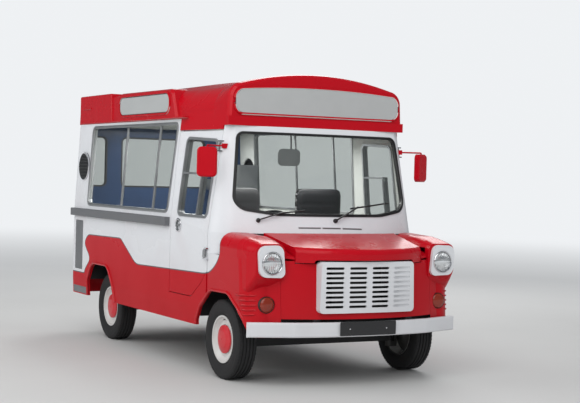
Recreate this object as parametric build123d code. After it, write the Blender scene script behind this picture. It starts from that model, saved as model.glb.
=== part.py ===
"""Ice cream truck: a short-wheelbase panel van with a moulded roof cap and two serving windows.

Millimetres. X runs forward, Y to the vehicle's left and Z up. The origin lies on the ground
under the middle of the vehicle's length.
"""

from build123d import *
from math import cos, pi, radians, sin, sqrt
import os

os.makedirs("parts", exist_ok=True)

# Overall sizes
wheelbase = 2692
front_overhang = 790          # front axle to the bonnet's lip
body_overhang = 810           # rear axle to the rear panel
rear_bumper_reach = 50        # rear bumper behind the rear panel
body_half_width = 980
sill_z = 400
roof_crown_z = 2530
seat_gap = 0.3                # clearance of a piece in its seat
door_gap = 7                  # clearance round a door or the bonnet

overall_length = front_overhang + wheelbase + body_overhang + rear_bumper_reach
front_axle_x = overall_length / 2 - front_overhang
rear_axle_x = front_axle_x - wheelbase
body_rear_x = rear_axle_x - body_overhang


def ahead(distance):
    """X of a place given from the front axle, forward positive."""
    return front_axle_x + distance


def from_rear(distance):
    """X of a place given from the outside of the rear panel, forward positive."""
    return body_rear_x + distance


def side_y(depth):
    """Half width of a place given inwards from the widest part of the body's side."""
    return body_half_width - depth


# Body side
side_wall = 30
waist_z = 1280                # the side is upright below this and leans in above
tuck = 8                      # how far the sill's edge is tucked in
eaves_z = 2140                # top of the side panel, foot of the roof cap
eaves_rear_half = side_y(47)
eaves_front_half = side_y(83)
door_rear_x = ahead(-975)
door_front_x = ahead(-217)
door_top_z = 2030
door_foot_z = 632
door_wall = 38
door_top_front_half = side_y(129)
cowl_z = 1190                 # the cab front leans back above this
cowl_half = side_y(6)

# Wheels
tyre_radius = 325
tyre_width = 185
tyre_shoulder = 22
tyre_sides = 64
rim_radius = 194
rim_width = 150
hub_cap_radius = 115
hub_bore_radius = 18
front_track_half = 845
rear_track_half = 792
kingpin_half = 690
steer_angle = 30

# Arch openings: x from the axle, z, corner radius
front_arch = [(-419, 380, 0), (-419, 440, 60), (-345, 560, 60), (-150, 712, 130), (180, 716, 150),
              (380, 600, 120), (532, 380, 0)]
rear_arch = [(-376, 380, 0), (-376, 560, 60), (-250, 737, 150), (190, 737, 150), (330, 560, 90),
             (398, 380, 0)]

# Serving window, its frame and the round vent
window_rear_x, window_front_x = from_rear(384), door_rear_x - 39
window_foot_z, window_head_z = 1312, 2117
window_corner = 70
frame_lap = 8                 # window frame proud of each face of the wall
serving_frame = 26
glass_thickness = 6
pane_bars = (window_rear_x + 913, window_front_x - 411)
bar_width = 24
vent_x, vent_z, vent_radius = from_rear(230), 1711, 136

# Serving ledge
ledge_depth, ledge_foot_z, ledge_head_z = 46, 1202, 1278
ledge_rear_x, ledge_front_x = from_rear(12), door_rear_x - 25

# Roof cap: the width and heights of its sections
cap_wall = 24
cap_overhang = 9
cap_door_foot_z = 2040
cap_front_foot_z = 2074
cap_sections = [
    # x, half width at the foot, half width at the shoulder, shoulder z, crown z, shoulder radius
    (body_rear_x - cap_overhang, side_y(38), side_y(48), 2395, 2470, 45),
    (ahead(-2300), side_y(54), side_y(65), 2390, 2500, 60),
    (ahead(-1230), side_y(64), side_y(80), 2385, 2518, 110),
    (ahead(-900), side_y(70), side_y(86), 2380, 2522, 190),
    (ahead(-420), side_y(100), side_y(128), 2395, 2530, 190),
    (ahead(-180), side_y(126), side_y(139), 2416, roof_crown_z, 110),
    (ahead(-148), side_y(133), side_y(146), 2410, roof_crown_z - 5, 105),
    (ahead(-132), side_y(150), side_y(163), 2395, roof_crown_z - 18, 95),
]

# Cab front in plan: where the side ends, the corner of the screen and the middle
cab_wall = 30
cab_sections = [
    # z, rear half width, corner x, corner half width, bulge x, bulge half width, middle x
    (cowl_z, cowl_half, ahead(12), side_y(168), ahead(-78), side_y(60), ahead(245)),
    (cap_front_foot_z, side_y(135), ahead(-150), side_y(205), ahead(-178), side_y(165), ahead(-98)),
]

# Windscreen opening seen from the front: half width, z, corner radius
screen_outline = [(side_y(205), 2027, 70), (side_y(135), 1385, 120), (500, 1335, 400)]
screen_rubber = 22
screen_inset = 12

# Nose
nose_wall = 20
nose_sections = [
    # z, middle x, corner x, corner half width, bulge x, bulge half width, side x, side half width
    (sill_z, ahead(762), ahead(562), side_y(180), ahead(528), side_y(75), ahead(410), side_y(12)),
    (1000, ahead(700), ahead(515), side_y(185), ahead(478), side_y(75), ahead(360), side_y(8)),
]
panel_foot_z = 546
panel_half = 704
lamp_y, lamp_z, lamp_radius = side_y(179), 984, 92
pod_inner_half = 640
pod_chin = 55                 # radius of the pod's lower outer edge
pod_sections = [
    # x, inner y, outer y, foot z, top z, corner radius
    (ahead(14), pod_inner_half, side_y(8), 760, 1196, 110),
    (ahead(330), pod_inner_half, side_y(10), 700, 1182, 105),
    (ahead(470), pod_inner_half + 16, side_y(24), 740, 1160, 90),
    (ahead(548), lamp_y - 128, lamp_y + 138, 815, 1143, 72),
    (ahead(585), lamp_y - 125, lamp_y + 131, 862, 1134, 62),
]
shoulder_sections = [
    # x, inner y, top z of the ledge between the pod and the bonnet
    (pod_sections[0][0], pod_inner_half - 1, 1168),
    (ahead(212), pod_inner_half - 1, 1150),
    (ahead(600), pod_inner_half - 43, 1030),
]
bonnet_half = 632
bonnet_rear_x = ahead(90)
bonnet_wall = 12
bonnet_rear_gap = 10
bonnet_sections = [
    # x, half width, side z, crown z
    (bonnet_rear_x, bonnet_half, 1203, 1232),
    (ahead(600), bonnet_half, 1097, 1131),
    (ahead(700), bonnet_half, 1078, 1112),
    (ahead(800), bonnet_half, 1056, 1090),
]
bonnet_lip_x = ahead(front_overhang)
bonnet_corner_x = ahead(600)
bonnet_corner_half = 590
bonnet_edge = 42              # radius of the front edge
bonnet_skirt_z = 987
# Room for the grille under the bonnet's lip
lip_rise = [(-462, 940, 0), (462, 940, 0), (462, 1012, 24), (-462, 1012, 24)]
bonnet_hinge_x, bonnet_hinge_y, bonnet_hinge_z = ahead(350), 200, 1150
bonnet_hinge_arm = 10         # thickness of the fixed arm, and half of the gap to each ear
bonnet_pin = 5
bonnet_ear = 8

# Grille
grille_half, grille_foot_z, grille_head_z = 440, 595, 1000
grille_mid_x, grille_side_x = ahead(764), ahead(739)
grille_wall = 14
grille_columns, grille_rows = 4, 9
grille_margin = 32            # frame beside and above the slots
slot_width, slot_height, slot_recess = 160, 20, 5
grille_corner = 34

# Lamps
bezel_outline = [
    (lamp_y - 118, 868, 45), (lamp_y + 104, 876, 62), (lamp_y + 124, 1118, 66), (lamp_y - 94, 1126, 66),
]
bezel_depth = 30
bezel_x = ahead(586)
lamp_dome, lamp_lens_radius = 16, 80
indicator_y, indicator_z, indicator_radius = side_y(171), 654, 66
indicator_face_x, indicator_dome = ahead(547), 22
tail_y, tail_z, tail_radius, tail_depth = side_y(130), 780, 55, 34

# Bumpers
bumper_foot_z, bumper_head_z = 405, 523
bumper_wall = 32
bumper_mid_x, bumper_knee_x, bumper_end_x = ahead(755), ahead(686), ahead(558)
bumper_knee_half, bumper_end_half = side_y(366), side_y(11)
bumper_edge = 14
rear_bumper_half = side_y(80)

# Chassis
rail_half, rail_width = 430, 60
tank_rail_gap = 40
rail_foot_z, floor_foot_z, floor_head_z = 470, 615, 640
rail_rear_x = body_rear_x + side_wall + 20
member_length = 70
member_places = [
    # middle x, foot z
    (ahead(580), 470), (ahead(-430), 555), (ahead(-1500), 555),
    (rear_axle_x + 480, 555), (rear_axle_x - 520, 555),
]
member_height = 60
rail_nose_z = 545             # top of the rails ahead of the front springs
nose_step_x = ahead(540)
tow_eye_places = (rail_rear_x + 40, ahead(640))
tow_eye_y, tow_eye_z, tow_eye_radius, tow_eye_wall, tow_plate = -365, 430, 15, 16, 70
axle_z = tyre_radius
beam_height, beam_depth = 60, 70
beam_z = 290
knuckle_radius = 30
kingpin_radius = 14
spring_width, spring_height = 60, 40
axle_tube_radius = 42
diff_radius = 140
housing_wall = 15
housing_head_z = 752
front_housing = (-436, 470, 560)      # from the axle: rear x, front x, inner y
rear_housing = (-392, 414, 640)

# Cab
wheel_centre = Vector(ahead(-300), -400, 1240)
steering_wheel_radius = 205
steering_rim, rim_sides = 14, 8
column_tilt = 38              # of the column from upright, leaning back
column_radius = 20
dash_rear, dash_front = ahead(-120), ahead(-22)
dash_foot_z, dash_head_z = 1020, 1240
seat_half, seat_y = 235, 420
seat_back_x, seat_front_x = ahead(-900), ahead(-430)
lining_foot_z, lining_thickness, lining_margin, lining_gap = 2127, 8, 60, 1
seat_base_z, seat_cushion_z, seat_head_z = 930, 1050, 1560
counter_depth, counter_head_z = 430, 1170
counter_rear_x, counter_front_x = from_rear(62), door_rear_x - 225
machine_length, machine_depth, machine_height = 420, 380, 600
machine_rear_x = from_rear(82)

# Doors
hinge_x = ahead(-236)
hinge_low_z, hinge_high_z = 1010, 1900
hinge_low_off, hinge_high_off = 19, 14      # pin centre outside the skin
hinge_barrel, hinge_pin, hinge_length = 11, 6, 70
door_open = 70
# Corners of the door's window: x from the front axle, z, corner radius
door_window = [(-845, 1297, 60), (-262, 1297, 60), (-268, 1960, 60), (-828, 1985, 60)]
door_frame = 24
door_bar_x, door_bar_z, door_bar = ahead(-470), 1668, 18
handle_x, handle_z, handle_radius = ahead(-807), 1218, 50
handle_recess = 18
mirror_z, mirror_width, mirror_height, mirror_depth = 1765, 165, 246, 48
mirror_corner, mirror_turn = 38, 30
mirror_x, mirror_half = ahead(-110), side_y(-66)
mirror_arm = 7


def save(shape, node):
    export_step(shape, f"parts/{node}.step")


def both(shape):
    """The shape on the left and its mirror on the right, as two solids."""
    return Compound(children=[*solids_of(shape), *solids_of(mirror(shape, about=Plane.XZ))])


def solids_of(shape):
    return [Solid(s.wrapped) for s in shape.solids()]


def group(*shapes):
    """Several solids that don't touch, for one node."""
    return Compound(children=[s for shape in shapes for s in solids_of(shape)])


def side_plane(y):
    return Plane(origin=(0, y, 0), x_dir=(1, 0, 0), z_dir=(0, -1, 0))


def front_plane(x):
    return Plane(origin=(x, 0, 0), x_dir=(0, 1, 0), z_dir=(1, 0, 0))


def outline_face(points):
    """Closed face from rows of two places and a corner radius."""
    wire = FilletPolyline(*[(p[0], p[1]) for p in points], radius=[p[2] for p in points], close=True)
    return make_face(wire)


def side_prism(points, y_low, y_high):
    """Outline in X and Z carried across from y_low to y_high."""
    return extrude(side_plane(y_high) * outline_face(points), amount=y_high - y_low, dir=(0, -1, 0))


def front_prism(points, x_low, x_high):
    """Outline in Y and Z carried along from x_low to x_high."""
    return extrude(front_plane(x_low) * outline_face(points), amount=x_high - x_low, dir=(1, 0, 0))


def block(x_low, x_high, y_low, y_high, z_low, z_high):
    size = (x_high - x_low, y_high - y_low, z_high - z_low)
    centre = ((x_low + x_high) / 2, (y_low + y_high) / 2, (z_low + z_high) / 2)
    return Pos(*centre) * Box(*size)


def rod(start, end, radius):
    """Round bar between two points."""
    path = Vector(*end) - Vector(*start)
    plane = Plane(origin=start, z_dir=path)
    return extrude(plane * Circle(radius), amount=path.length)


def tube(start, end, radius, bore):
    return rod(start, end, radius) - rod(start, end, bore)


def shift_arch(arch, axle_x, grow):
    """Arch outline placed at its axle, grown outwards by a margin."""
    rows = []
    for x, z, r in arch:
        out_x = x + (grow if x > 0 else -grow)
        rows.append((axle_x + out_x, z + (grow if z > sill_z else 0), r))
    return rows


def wall_sections(stations, outset, inset):
    """Upright wall loft from stations of x, half width below and above the waist, waist z, foot z, head z."""
    faces = []
    for x, low_half, waist, high_half, foot, head in stations:
        lean = (high_half - low_half) / (head - waist)
        outer = [(low_half - tuck, foot), (low_half, foot + 160), (low_half, waist), (high_half, head)]
        ring = [(y + outset, z) for y, z in outer] + [(y - inset, z) for y, z in reversed(outer)]
        faces.append(front_plane(x) * make_face(Polyline(*ring, close=True)))
    return loft(faces, ruled=True)


def side_stations():
    start_x = body_rear_x + side_wall
    return [
        (start_x, body_half_width, waist_z, eaves_rear_half, sill_z, eaves_z),
        (door_rear_x - door_gap / 2, body_half_width, waist_z, eaves_front_half, sill_z, eaves_z),
    ]


def half_at(z, low_half, waist, high_half, head):
    """Half width of a leaning side at height z."""
    if z <= waist:
        return low_half
    return low_half + (high_half - low_half) * (z - waist) / (head - waist)


door_top_rear_half = half_at(door_top_z, body_half_width, waist_z, eaves_front_half, eaves_z)


def door_stations(foot, head):
    front_head = cowl_half + (door_top_front_half - cowl_half) * (head - cowl_z) / (door_top_z - cowl_z)
    rear_head = half_at(head, body_half_width, waist_z, eaves_front_half, eaves_z)
    return [
        (door_rear_x + door_gap / 2, body_half_width, waist_z, rear_head, foot, head),
        (door_front_x - door_gap / 2, cowl_half, cowl_z, front_head, foot, head),
    ]


# Body sides
window_points = [
    (window_rear_x, window_foot_z, window_corner),
    (window_front_x - 36, window_foot_z, window_corner),
    (window_front_x, window_head_z, window_corner),
    (window_rear_x, window_head_z, window_corner),
]


def inset_outline(points, margin):
    """Outline drawn in towards its middle by a margin on every side."""
    mid_x = (min(p[0] for p in points) + max(p[0] for p in points)) / 2
    mid_z = (min(p[1] for p in points) + max(p[1] for p in points)) / 2
    return [
        (x - margin if x > mid_x else x + margin, z - margin if z > mid_z else z + margin, max(r - margin, 1))
        for x, z, r in points
    ]


far = body_half_width + 200
door_foot_outline = [
    (door_rear_x - 50, door_foot_z, 0), (ahead(-520), door_foot_z, 90), (ahead(-330), 760, 80),
    (door_front_x + 50, 910, 0), (door_front_x + 50, door_top_z + 50, 0),
    (door_rear_x - 50, door_top_z + 50, 0),
]


def make_side_panel():
    panel = wall_sections(side_stations(), 0, side_wall)
    panel -= side_prism(window_points, 0, far)
    panel -= side_prism(shift_arch(rear_arch, rear_axle_x, 0), 0, far)
    panel -= rod((vent_x, 0, vent_z), (vent_x, far, vent_z), vent_radius)
    return panel


def make_sill():
    """Step panel under the door, running forward over the back of the front arch."""
    stations = [
        (door_rear_x - door_gap / 2, body_half_width, waist_z, body_half_width, sill_z, waist_z + 1),
        (door_front_x - door_gap / 2, body_half_width - 3, waist_z, body_half_width - 3, sill_z, waist_z + 1),
    ]
    sill = wall_sections(stations, 0, side_wall)
    door_room = [
        (door_rear_x - 50, door_foot_z - door_gap, 0), (ahead(-517), door_foot_z - door_gap, 90),
        (ahead(-327), 760 - door_gap, 80), (door_front_x + 50, 910 - door_gap, 0),
        (door_front_x + 50, waist_z + 50, 0), (door_rear_x - 50, waist_z + 50, 0),
    ]
    sill -= side_prism(door_room, 0, far)
    sill -= side_prism(shift_arch(front_arch, front_axle_x, 0), 0, far)
    return sill


side = make_side_panel() + make_sill()
save(both(side), "side_panels")

serving_frame_solid = wall_sections(side_stations(), frame_lap, side_wall + frame_lap)
serving_frame_solid &= side_prism(inset_outline(window_points, seat_gap), 0, far)
light = side_prism(inset_outline(window_points, serving_frame), 0, far)
bars = [
    block(x - bar_width / 2, x + bar_width / 2, 0, far, window_foot_z, window_head_z)
    for x in pane_bars
]
opening = light
for bar in bars:
    opening -= bar
save(both(serving_frame_solid - opening), "serving_window_frames")

pane_wall = wall_sections(side_stations(), -side_wall / 2 + glass_thickness, side_wall / 2)
panes = side_prism(inset_outline(window_points, serving_frame + seat_gap), 0, far)
for x in pane_bars:
    gap = bar_width / 2 + seat_gap
    panes -= block(x - gap, x + gap, 0, far, window_foot_z, window_head_z)
side_panes = both(pane_wall & panes)

# Round vents
vent_half = half_at(vent_z, body_half_width, waist_z, eaves_rear_half, eaves_z)
vent = rod((vent_x, vent_half - side_wall, vent_z), (vent_x, vent_half + 14, vent_z), vent_radius - seat_gap)
vent -= rod((vent_x, 0, vent_z), (vent_x, vent_half - 12, vent_z), vent_radius - 22)
save(both(vent), "side_vents")

# Serving ledges
ledge = block(ledge_rear_x, ledge_front_x, body_half_width, body_half_width + ledge_depth,
              ledge_foot_z, ledge_head_z)
ledge = fillet(ledge.edges().filter_by(Axis.X).sort_by(Axis.Y)[-2:], 8)
save(both(ledge), "serving_ledges")

# Rear panel
rear_window_foot_z, rear_window_head_z = 1500, 2032
# Right and left edge of each rear pane
rear_panes = [(-side_y(130), -side_y(340)), (-side_y(490), side_y(490)), (side_y(340), side_y(130))]
rear_pane_corner = 60
rear_frame = 18


def rear_outline(inset):
    return [
        (-(body_half_width - tuck - inset), sill_z, 0), (body_half_width - tuck - inset, sill_z, 0),
        (body_half_width - inset, sill_z + 160, 0), (body_half_width - inset, waist_z, 0),
        (eaves_rear_half - inset, eaves_z, 0), (-(eaves_rear_half - inset), eaves_z, 0),
        (-(body_half_width - inset), waist_z, 0), (-(body_half_width - inset), sill_z + 160, 0),
    ]


def polygon_prism(points, x_low, x_high):
    face = make_face(Polyline(*[(p[0], p[1]) for p in points], close=True))
    return extrude(front_plane(x_low) * face, amount=x_high - x_low, dir=(1, 0, 0))


rear_panel = polygon_prism(rear_outline(0), body_rear_x, body_rear_x + side_wall)


def rear_pane_outline(right_y, left_y):
    foot, head, bend = rear_window_foot_z, rear_window_head_z, rear_pane_corner
    return [(right_y, foot, bend), (left_y, foot, bend), (left_y, head, bend), (right_y, head, bend)]


rear_rubbers, rear_glasses = [], []
for right_y, left_y in rear_panes:
    pane = rear_pane_outline(right_y, left_y)
    light = inset_outline(pane, rear_frame)
    rear_panel -= front_prism(pane, body_rear_x - 50, body_rear_x + 100)
    ring = front_prism(inset_outline(pane, seat_gap), body_rear_x - 6, body_rear_x + side_wall)
    rear_rubbers.append(ring - front_prism(light, body_rear_x - 50, body_rear_x + 100))
    rear_glasses.append(front_prism(inset_outline(pane, rear_frame + seat_gap), body_rear_x + 8,
                                    body_rear_x + 14))
save(rear_panel, "rear_panel")
save(group(side_panes, *rear_glasses), "body_glass")


# Roof cap
def cap_section(row, inset, foot_z):
    """Closed section: upright side, rounded shoulder and crowned top."""
    x, foot_half, shoulder_half, shoulder_z, crown_z, shoulder_radius = row
    foot, shoulder = foot_half - inset, shoulder_half - inset
    low, top = shoulder_z - inset, crown_z - inset
    bend = shoulder_radius - inset
    side_top = (shoulder - 2, low - bend)
    round_mid = (shoulder - 0.27 * bend, low - 0.25 * bend)
    crown_start = (shoulder - bend, low + 0.16 * bend)
    right = [(-y, z) for y, z in (side_top, round_mid, crown_start)]
    lines = [
        Line((-foot, foot_z), (foot, foot_z)),
        Line((foot, foot_z), side_top),
        ThreePointArc(side_top, round_mid, crown_start),
        ThreePointArc(crown_start, (0, top), right[2]),
        ThreePointArc(right[2], right[1], right[0]),
        Line(right[0], (-foot, foot_z)),
    ]
    return front_plane(x) * make_face(lines)


def make_roof_cap():
    outer = loft([cap_section(row, 0, cap_door_foot_z) for row in cap_sections], ruled=True)
    rows = [list(row) for row in cap_sections]
    rows[0][0] += cap_wall
    rows[-1][0] -= cap_wall
    inner = loft([cap_section(row, cap_wall, cap_door_foot_z - 60) for row in rows], ruled=True)
    return outer, inner


sign_rear_x, sign_front_x = from_rear(1132), window_front_x - 151
sign_foot_z, sign_head_z, sign_end_radius = 2202, 2376, 80
hump_reach = 160
hump_half = cap_sections[0][2] + 4
hump_recess = 14              # how far the roof's side sits back between the sign and the rear corner
rear_box_front_x = from_rear(900)
bead_width, bead_depth = 16, 9
front_sign_half, front_sign_foot_z, front_sign_head_z = side_y(193), 2184, 2392
front_sign_drop = 30          # how far the sign's upper corners lie below the middle of its arch
sign_corner = 70
fascia_band_head_z, fascia_band_depth = 2150, 8
drip_z, drip_width, drip_depth = 2160, 12, 8
vent_ridge = (from_rear(112), from_rear(322), 2300)     # rear x, front x, z


def make_cap_forms():
    """Raised sign panels and the square rear corners that stand up from the cap."""
    forms = []
    foot_z = drip_z - drip_width
    rear_x = body_rear_x - cap_overhang
    hump = [
        (sign_rear_x - 95, foot_z, 0), (sign_front_x + 150, foot_z, 0), (sign_front_x + 105, 2250, 120),
        (sign_front_x + 35, 2412, 70), (sign_rear_x - 35, 2418, 70),
    ]
    shelf = [(rear_x, foot_z, 0), (rear_box_front_x, foot_z, 0), (rear_box_front_x - 20, 2430, 30),
             (rear_x, 2430, 12)]
    between = [(rear_x + 100, foot_z, 0), (sign_front_x, foot_z, 0), (sign_front_x - 100, 2400, 60),
               (rear_x + 130, 2400, 0)]
    for outline, setback, edge in ((hump, 0, 24), (shelf, 0, 10), (between, hump_recess, 24)):
        form = side_prism(outline, hump_half - hump_reach, hump_half - setback)
        rim = form.faces().sort_by(Axis.Y)[-1].edges().filter_by(lambda e: e.center().Z > foot_z + 5)
        form = chamfer(rim, edge, edge / 2)
        forms += [form, mirror(form, about=Plane.XZ)]
    return forms


def front_sign_face(grow):
    """Outline of the front sign, grown by a margin: flat below and arched above."""
    foot, head, bend = front_sign_foot_z - grow, front_sign_head_z + grow, sign_corner + grow
    end, corner_z = front_sign_half + grow, head - front_sign_drop
    cut = bend * (1 - sqrt(0.5))
    shoulder, side_top = (end - bend, corner_z), (end, corner_z - bend)
    corner = (end - cut, corner_z - cut)
    right = [(-y, z) for y, z in (shoulder, corner, side_top)]
    lines = [
        ThreePointArc(right[0], (0, head), shoulder), ThreePointArc(shoulder, corner, side_top),
        Line(side_top, (end, foot + bend)),
        ThreePointArc((end, foot + bend), (end - cut, foot + cut), (end - bend, foot)),
        Line((end - bend, foot), (-(end - bend), foot)),
        ThreePointArc((-(end - bend), foot), (-(end - cut), foot + cut), (-end, foot + bend)),
        Line((-end, foot + bend), right[2]), ThreePointArc(right[2], right[1], right[0]),
    ]
    return front_plane(cap_front_x - 1) * make_face(lines)


def make_sign_bead():
    """Raised bead round the front sign."""
    outer = extrude(front_sign_face(bead_width), amount=bead_depth + 1, dir=(1, 0, 0))
    return outer - extrude(front_sign_face(0), amount=bead_depth + 1, dir=(1, 0, 0))


def make_side_bead():
    """Raised bead round a side sign, on the face of the hump."""
    corners = [(sign_rear_x, sign_foot_z), (sign_front_x, sign_foot_z), (sign_front_x, sign_head_z),
               (sign_rear_x, sign_head_z)]
    rows = [(x, z, sign_end_radius) for x, z in corners]
    bead = side_prism(inset_outline(rows, -bead_width), hump_half - 2, hump_half + bead_depth)
    return bead - side_prism(rows, hump_half - 3, hump_half + bead_depth + 1)


cap_front_x = cap_sections[-1][0]
cap, cap_inside = make_roof_cap()
for form in make_cap_forms():
    cap += form
cap += make_sign_bead()
side_bead = make_side_bead()
cap += side_bead
cap += mirror(side_bead, about=Plane.XZ)
band_half = cap_sections[-3][1] - 1
cap += block(cap_front_x - 40, cap_front_x + fascia_band_depth, -band_half, band_half, cap_front_foot_z,
             fascia_band_head_z)
cap -= cap_inside
drip_y_low = hump_half - 60
drip = block(body_rear_x + 40, door_rear_x + 130, drip_y_low, hump_half + drip_depth, drip_z - drip_width,
             drip_z)
drip += block(*vent_ridge[:2], drip_y_low, hump_half + drip_depth, vent_ridge[2] - 8, vent_ridge[2] + 8)
cap += drip - cap_inside
cap += mirror(drip - cap_inside, about=Plane.XZ)
cap -= block(body_rear_x - 100, door_rear_x, -far, far, cap_door_foot_z - 100, eaves_z)
cap -= block(door_front_x - door_gap / 2, ahead(100), -far, far, cap_door_foot_z - 100, cap_front_foot_z)
save(cap, "roof_cap")


# Cab front
def cab_section(row, inset):
    z, rear_half, corner_x, corner_half, bulge_x, bulge_half, middle_x = row
    rear_x = door_front_x + door_gap / 2 - (1 if inset else 0)
    corner = (corner_x - inset, corner_half - inset * 0.7)
    bulge = (bulge_x - inset * 0.6, bulge_half - inset * 0.9)
    lines = [
        Line((rear_x, -(rear_half - inset)), (rear_x, rear_half - inset)),
        ThreePointArc((rear_x, rear_half - inset), bulge, corner),
        ThreePointArc(corner, (middle_x - inset, 0), (corner[0], -corner[1])),
        ThreePointArc((corner[0], -corner[1]), (bulge[0], -bulge[1]), (rear_x, -(rear_half - inset))),
    ]
    return Plane.XY.offset(z) * make_face(lines)


def grown_cab_rows(below, above):
    """Cab front rows carried below and above their heights along the same lean."""
    low, high = cab_sections
    rise = high[0] - low[0]
    def at(z):
        share = (z - low[0]) / rise
        return (z, *[a + (b - a) * share for a, b in zip(low[1:], high[1:])])
    return [at(low[0] - below), at(high[0] + above)]


cowl_foot_z = 1012
cowl_row, head_row = cab_sections


def upright_cab(inset, z_low, z_high):
    """The cowl's plan carried straight up, drawn in by the inset."""
    return loft([cab_section((z, *cowl_row[1:]), inset) for z in (z_low, z_high)], ruled=True)


cab_outer = loft([cab_section(row, 0) for row in cab_sections], ruled=True)
cab_inner = loft([cab_section(cowl_row, cab_wall), cab_section(grown_cab_rows(0, 60)[1], cab_wall)],
                 ruled=True)
screen_points = [(y, z, r) for y, z, r in screen_outline]
screen_points += [(-y, z, r) for y, z, r in reversed(screen_outline)]
cab_front = cab_outer - cab_inner - front_prism(screen_points, door_front_x, ahead(400))
cowl_skirt = upright_cab(0, cowl_foot_z, cowl_z) - upright_cab(cab_wall, cowl_foot_z - 5, cowl_z)
cowl_skirt &= block(door_front_x - 50, ahead(5), -far, far, 0, 3000)
bulkhead_x = ahead(-20)
shelf_z = cowl_z + 24
bulkhead = block(bulkhead_x, bulkhead_x + 20, -far, far, cowl_foot_z - 1, shelf_z)
bulkhead += block(bulkhead_x, ahead(400), -far, far, shelf_z - 16, shelf_z)
bulkhead &= upright_cab(cab_wall - 2, 900, cowl_z) + loft(
    [cab_section(cowl_row, cab_wall - 2), cab_section(head_row, cab_wall - 2)], ruled=True)
lower_half = cowl_half - nose_wall - 6
bulkhead += block(bulkhead_x, bulkhead_x + 20, -lower_half, lower_half, housing_head_z + seat_gap,
                  cowl_foot_z)
bulkhead += block(bulkhead_x, bulkhead_x + 20, -530, 530, floor_head_z, housing_head_z + 1)
cab_front += cowl_skirt
cab_front += bulkhead
hinge_arm_outline = [
    (bulkhead_x + 15, 975), (bulkhead_x + 15, 1008), (bonnet_hinge_x - 70, 1012), (bonnet_hinge_x - 8, 1150),
    (bonnet_hinge_x + 8, 1150), (bonnet_hinge_x + 8, 1005), (bonnet_hinge_x - 20, 975),
]
for y in (-bonnet_hinge_y, bonnet_hinge_y):
    high_y = y + bonnet_hinge_arm / 2
    arm_face = side_plane(high_y) * make_face(Polyline(*hinge_arm_outline, close=True))
    pin_reach = bonnet_hinge_arm * 1.5 + bonnet_ear + 2
    cab_front += extrude(arm_face, amount=bonnet_hinge_arm, dir=(0, -1, 0))
    cab_front += rod((bonnet_hinge_x, y - bonnet_hinge_arm / 2, bonnet_hinge_z),
                     (bonnet_hinge_x, high_y, bonnet_hinge_z), 9)
    cab_front += rod((bonnet_hinge_x, y - pin_reach, bonnet_hinge_z),
                     (bonnet_hinge_x, y + pin_reach, bonnet_hinge_z),
                     bonnet_pin)
save(cab_front, "cab_front")

screen_solid = loft([cab_section(row, 0) for row in grown_cab_rows(0, 0)], ruled=True)
rubber_outer = loft([cab_section(row, -6) for row in grown_cab_rows(0, 0)], ruled=True)
rubber_hole = [(y - screen_rubber, z + (screen_rubber if z < 1700 else -screen_rubber),
                max(r - screen_rubber, 1))
               for y, z, r in screen_outline]
rubber_hole += [(-y, z, r) for y, z, r in reversed(rubber_hole)]
rubber_edge = [(y - seat_gap, z + (seat_gap if z < 1700 else -seat_gap), r) for y, z, r in screen_outline]
rubber_edge += [(-y, z, r) for y, z, r in reversed(rubber_edge)]
rubber = (rubber_outer - cab_inner) & front_prism(rubber_edge, door_front_x, ahead(400))
rubber -= front_prism(rubber_hole, door_front_x, ahead(400))
save(group(rubber, *rear_rubbers), "window_rubbers")
glass_out = loft([cab_section(row, screen_inset) for row in grown_cab_rows(0, 0)], ruled=True)
glass_in = loft([cab_section(row, screen_inset + glass_thickness) for row in grown_cab_rows(60, 60)],
                ruled=True)
glass_edge = [(y - screen_rubber - seat_gap, z + ((screen_rubber + seat_gap) if z < 1700 else
               -(screen_rubber + seat_gap)), max(r - screen_rubber, 1)) for y, z, r in screen_outline]
glass_edge += [(-y, z, r) for y, z, r in reversed(glass_edge)]
save((glass_out - glass_in) & front_prism(glass_edge, door_front_x + 20, ahead(400)), "windscreen")


# Nose: wings, front panel, bonnet
def nose_section(row, inset):
    z, mid_x, corner_x, corner_half, bulge_x, bulge_half, side_x, side_half = row
    rear_x = door_front_x + door_gap / 2
    side = (side_x - inset, side_half - inset)
    bulge = (bulge_x - inset * 0.7, bulge_half - inset * 0.7)
    corner = (corner_x - inset, corner_half - inset * 0.5)
    lines = [
        Line((rear_x, -side_half + inset), (rear_x, side_half - inset)),
        Line((rear_x, side_half - inset), side),
        ThreePointArc(side, bulge, corner),
        ThreePointArc(corner, (mid_x - inset, 0), (corner[0], -corner[1])),
        ThreePointArc((corner[0], -corner[1]), (bulge[0], -bulge[1]), (side[0], -side[1])),
        Line((side[0], -side[1]), (rear_x, -side_half + inset)),
    ]
    return Plane.XY.offset(z) * make_face(lines)


def nose_loft(inset, drop, rise):
    low, high = nose_sections
    span = high[0] - low[0]
    def at(z):
        share = (z - low[0]) / span
        return (z, *[a + (b - a) * share for a, b in zip(low[1:], high[1:])])
    return loft([nose_section(at(low[0] - drop), inset), nose_section(at(high[0] + rise), inset)], ruled=True)


def pod_section(row, inset):
    x, inner, outer, foot, top, corner = row
    rows = [(inner + inset, foot, 20), (outer - inset, foot, pod_chin),
            (outer - inset, top - inset, corner - inset),
            (inner + inset, top - inset, corner - inset)]
    return front_plane(x) * outline_face(rows)


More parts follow.
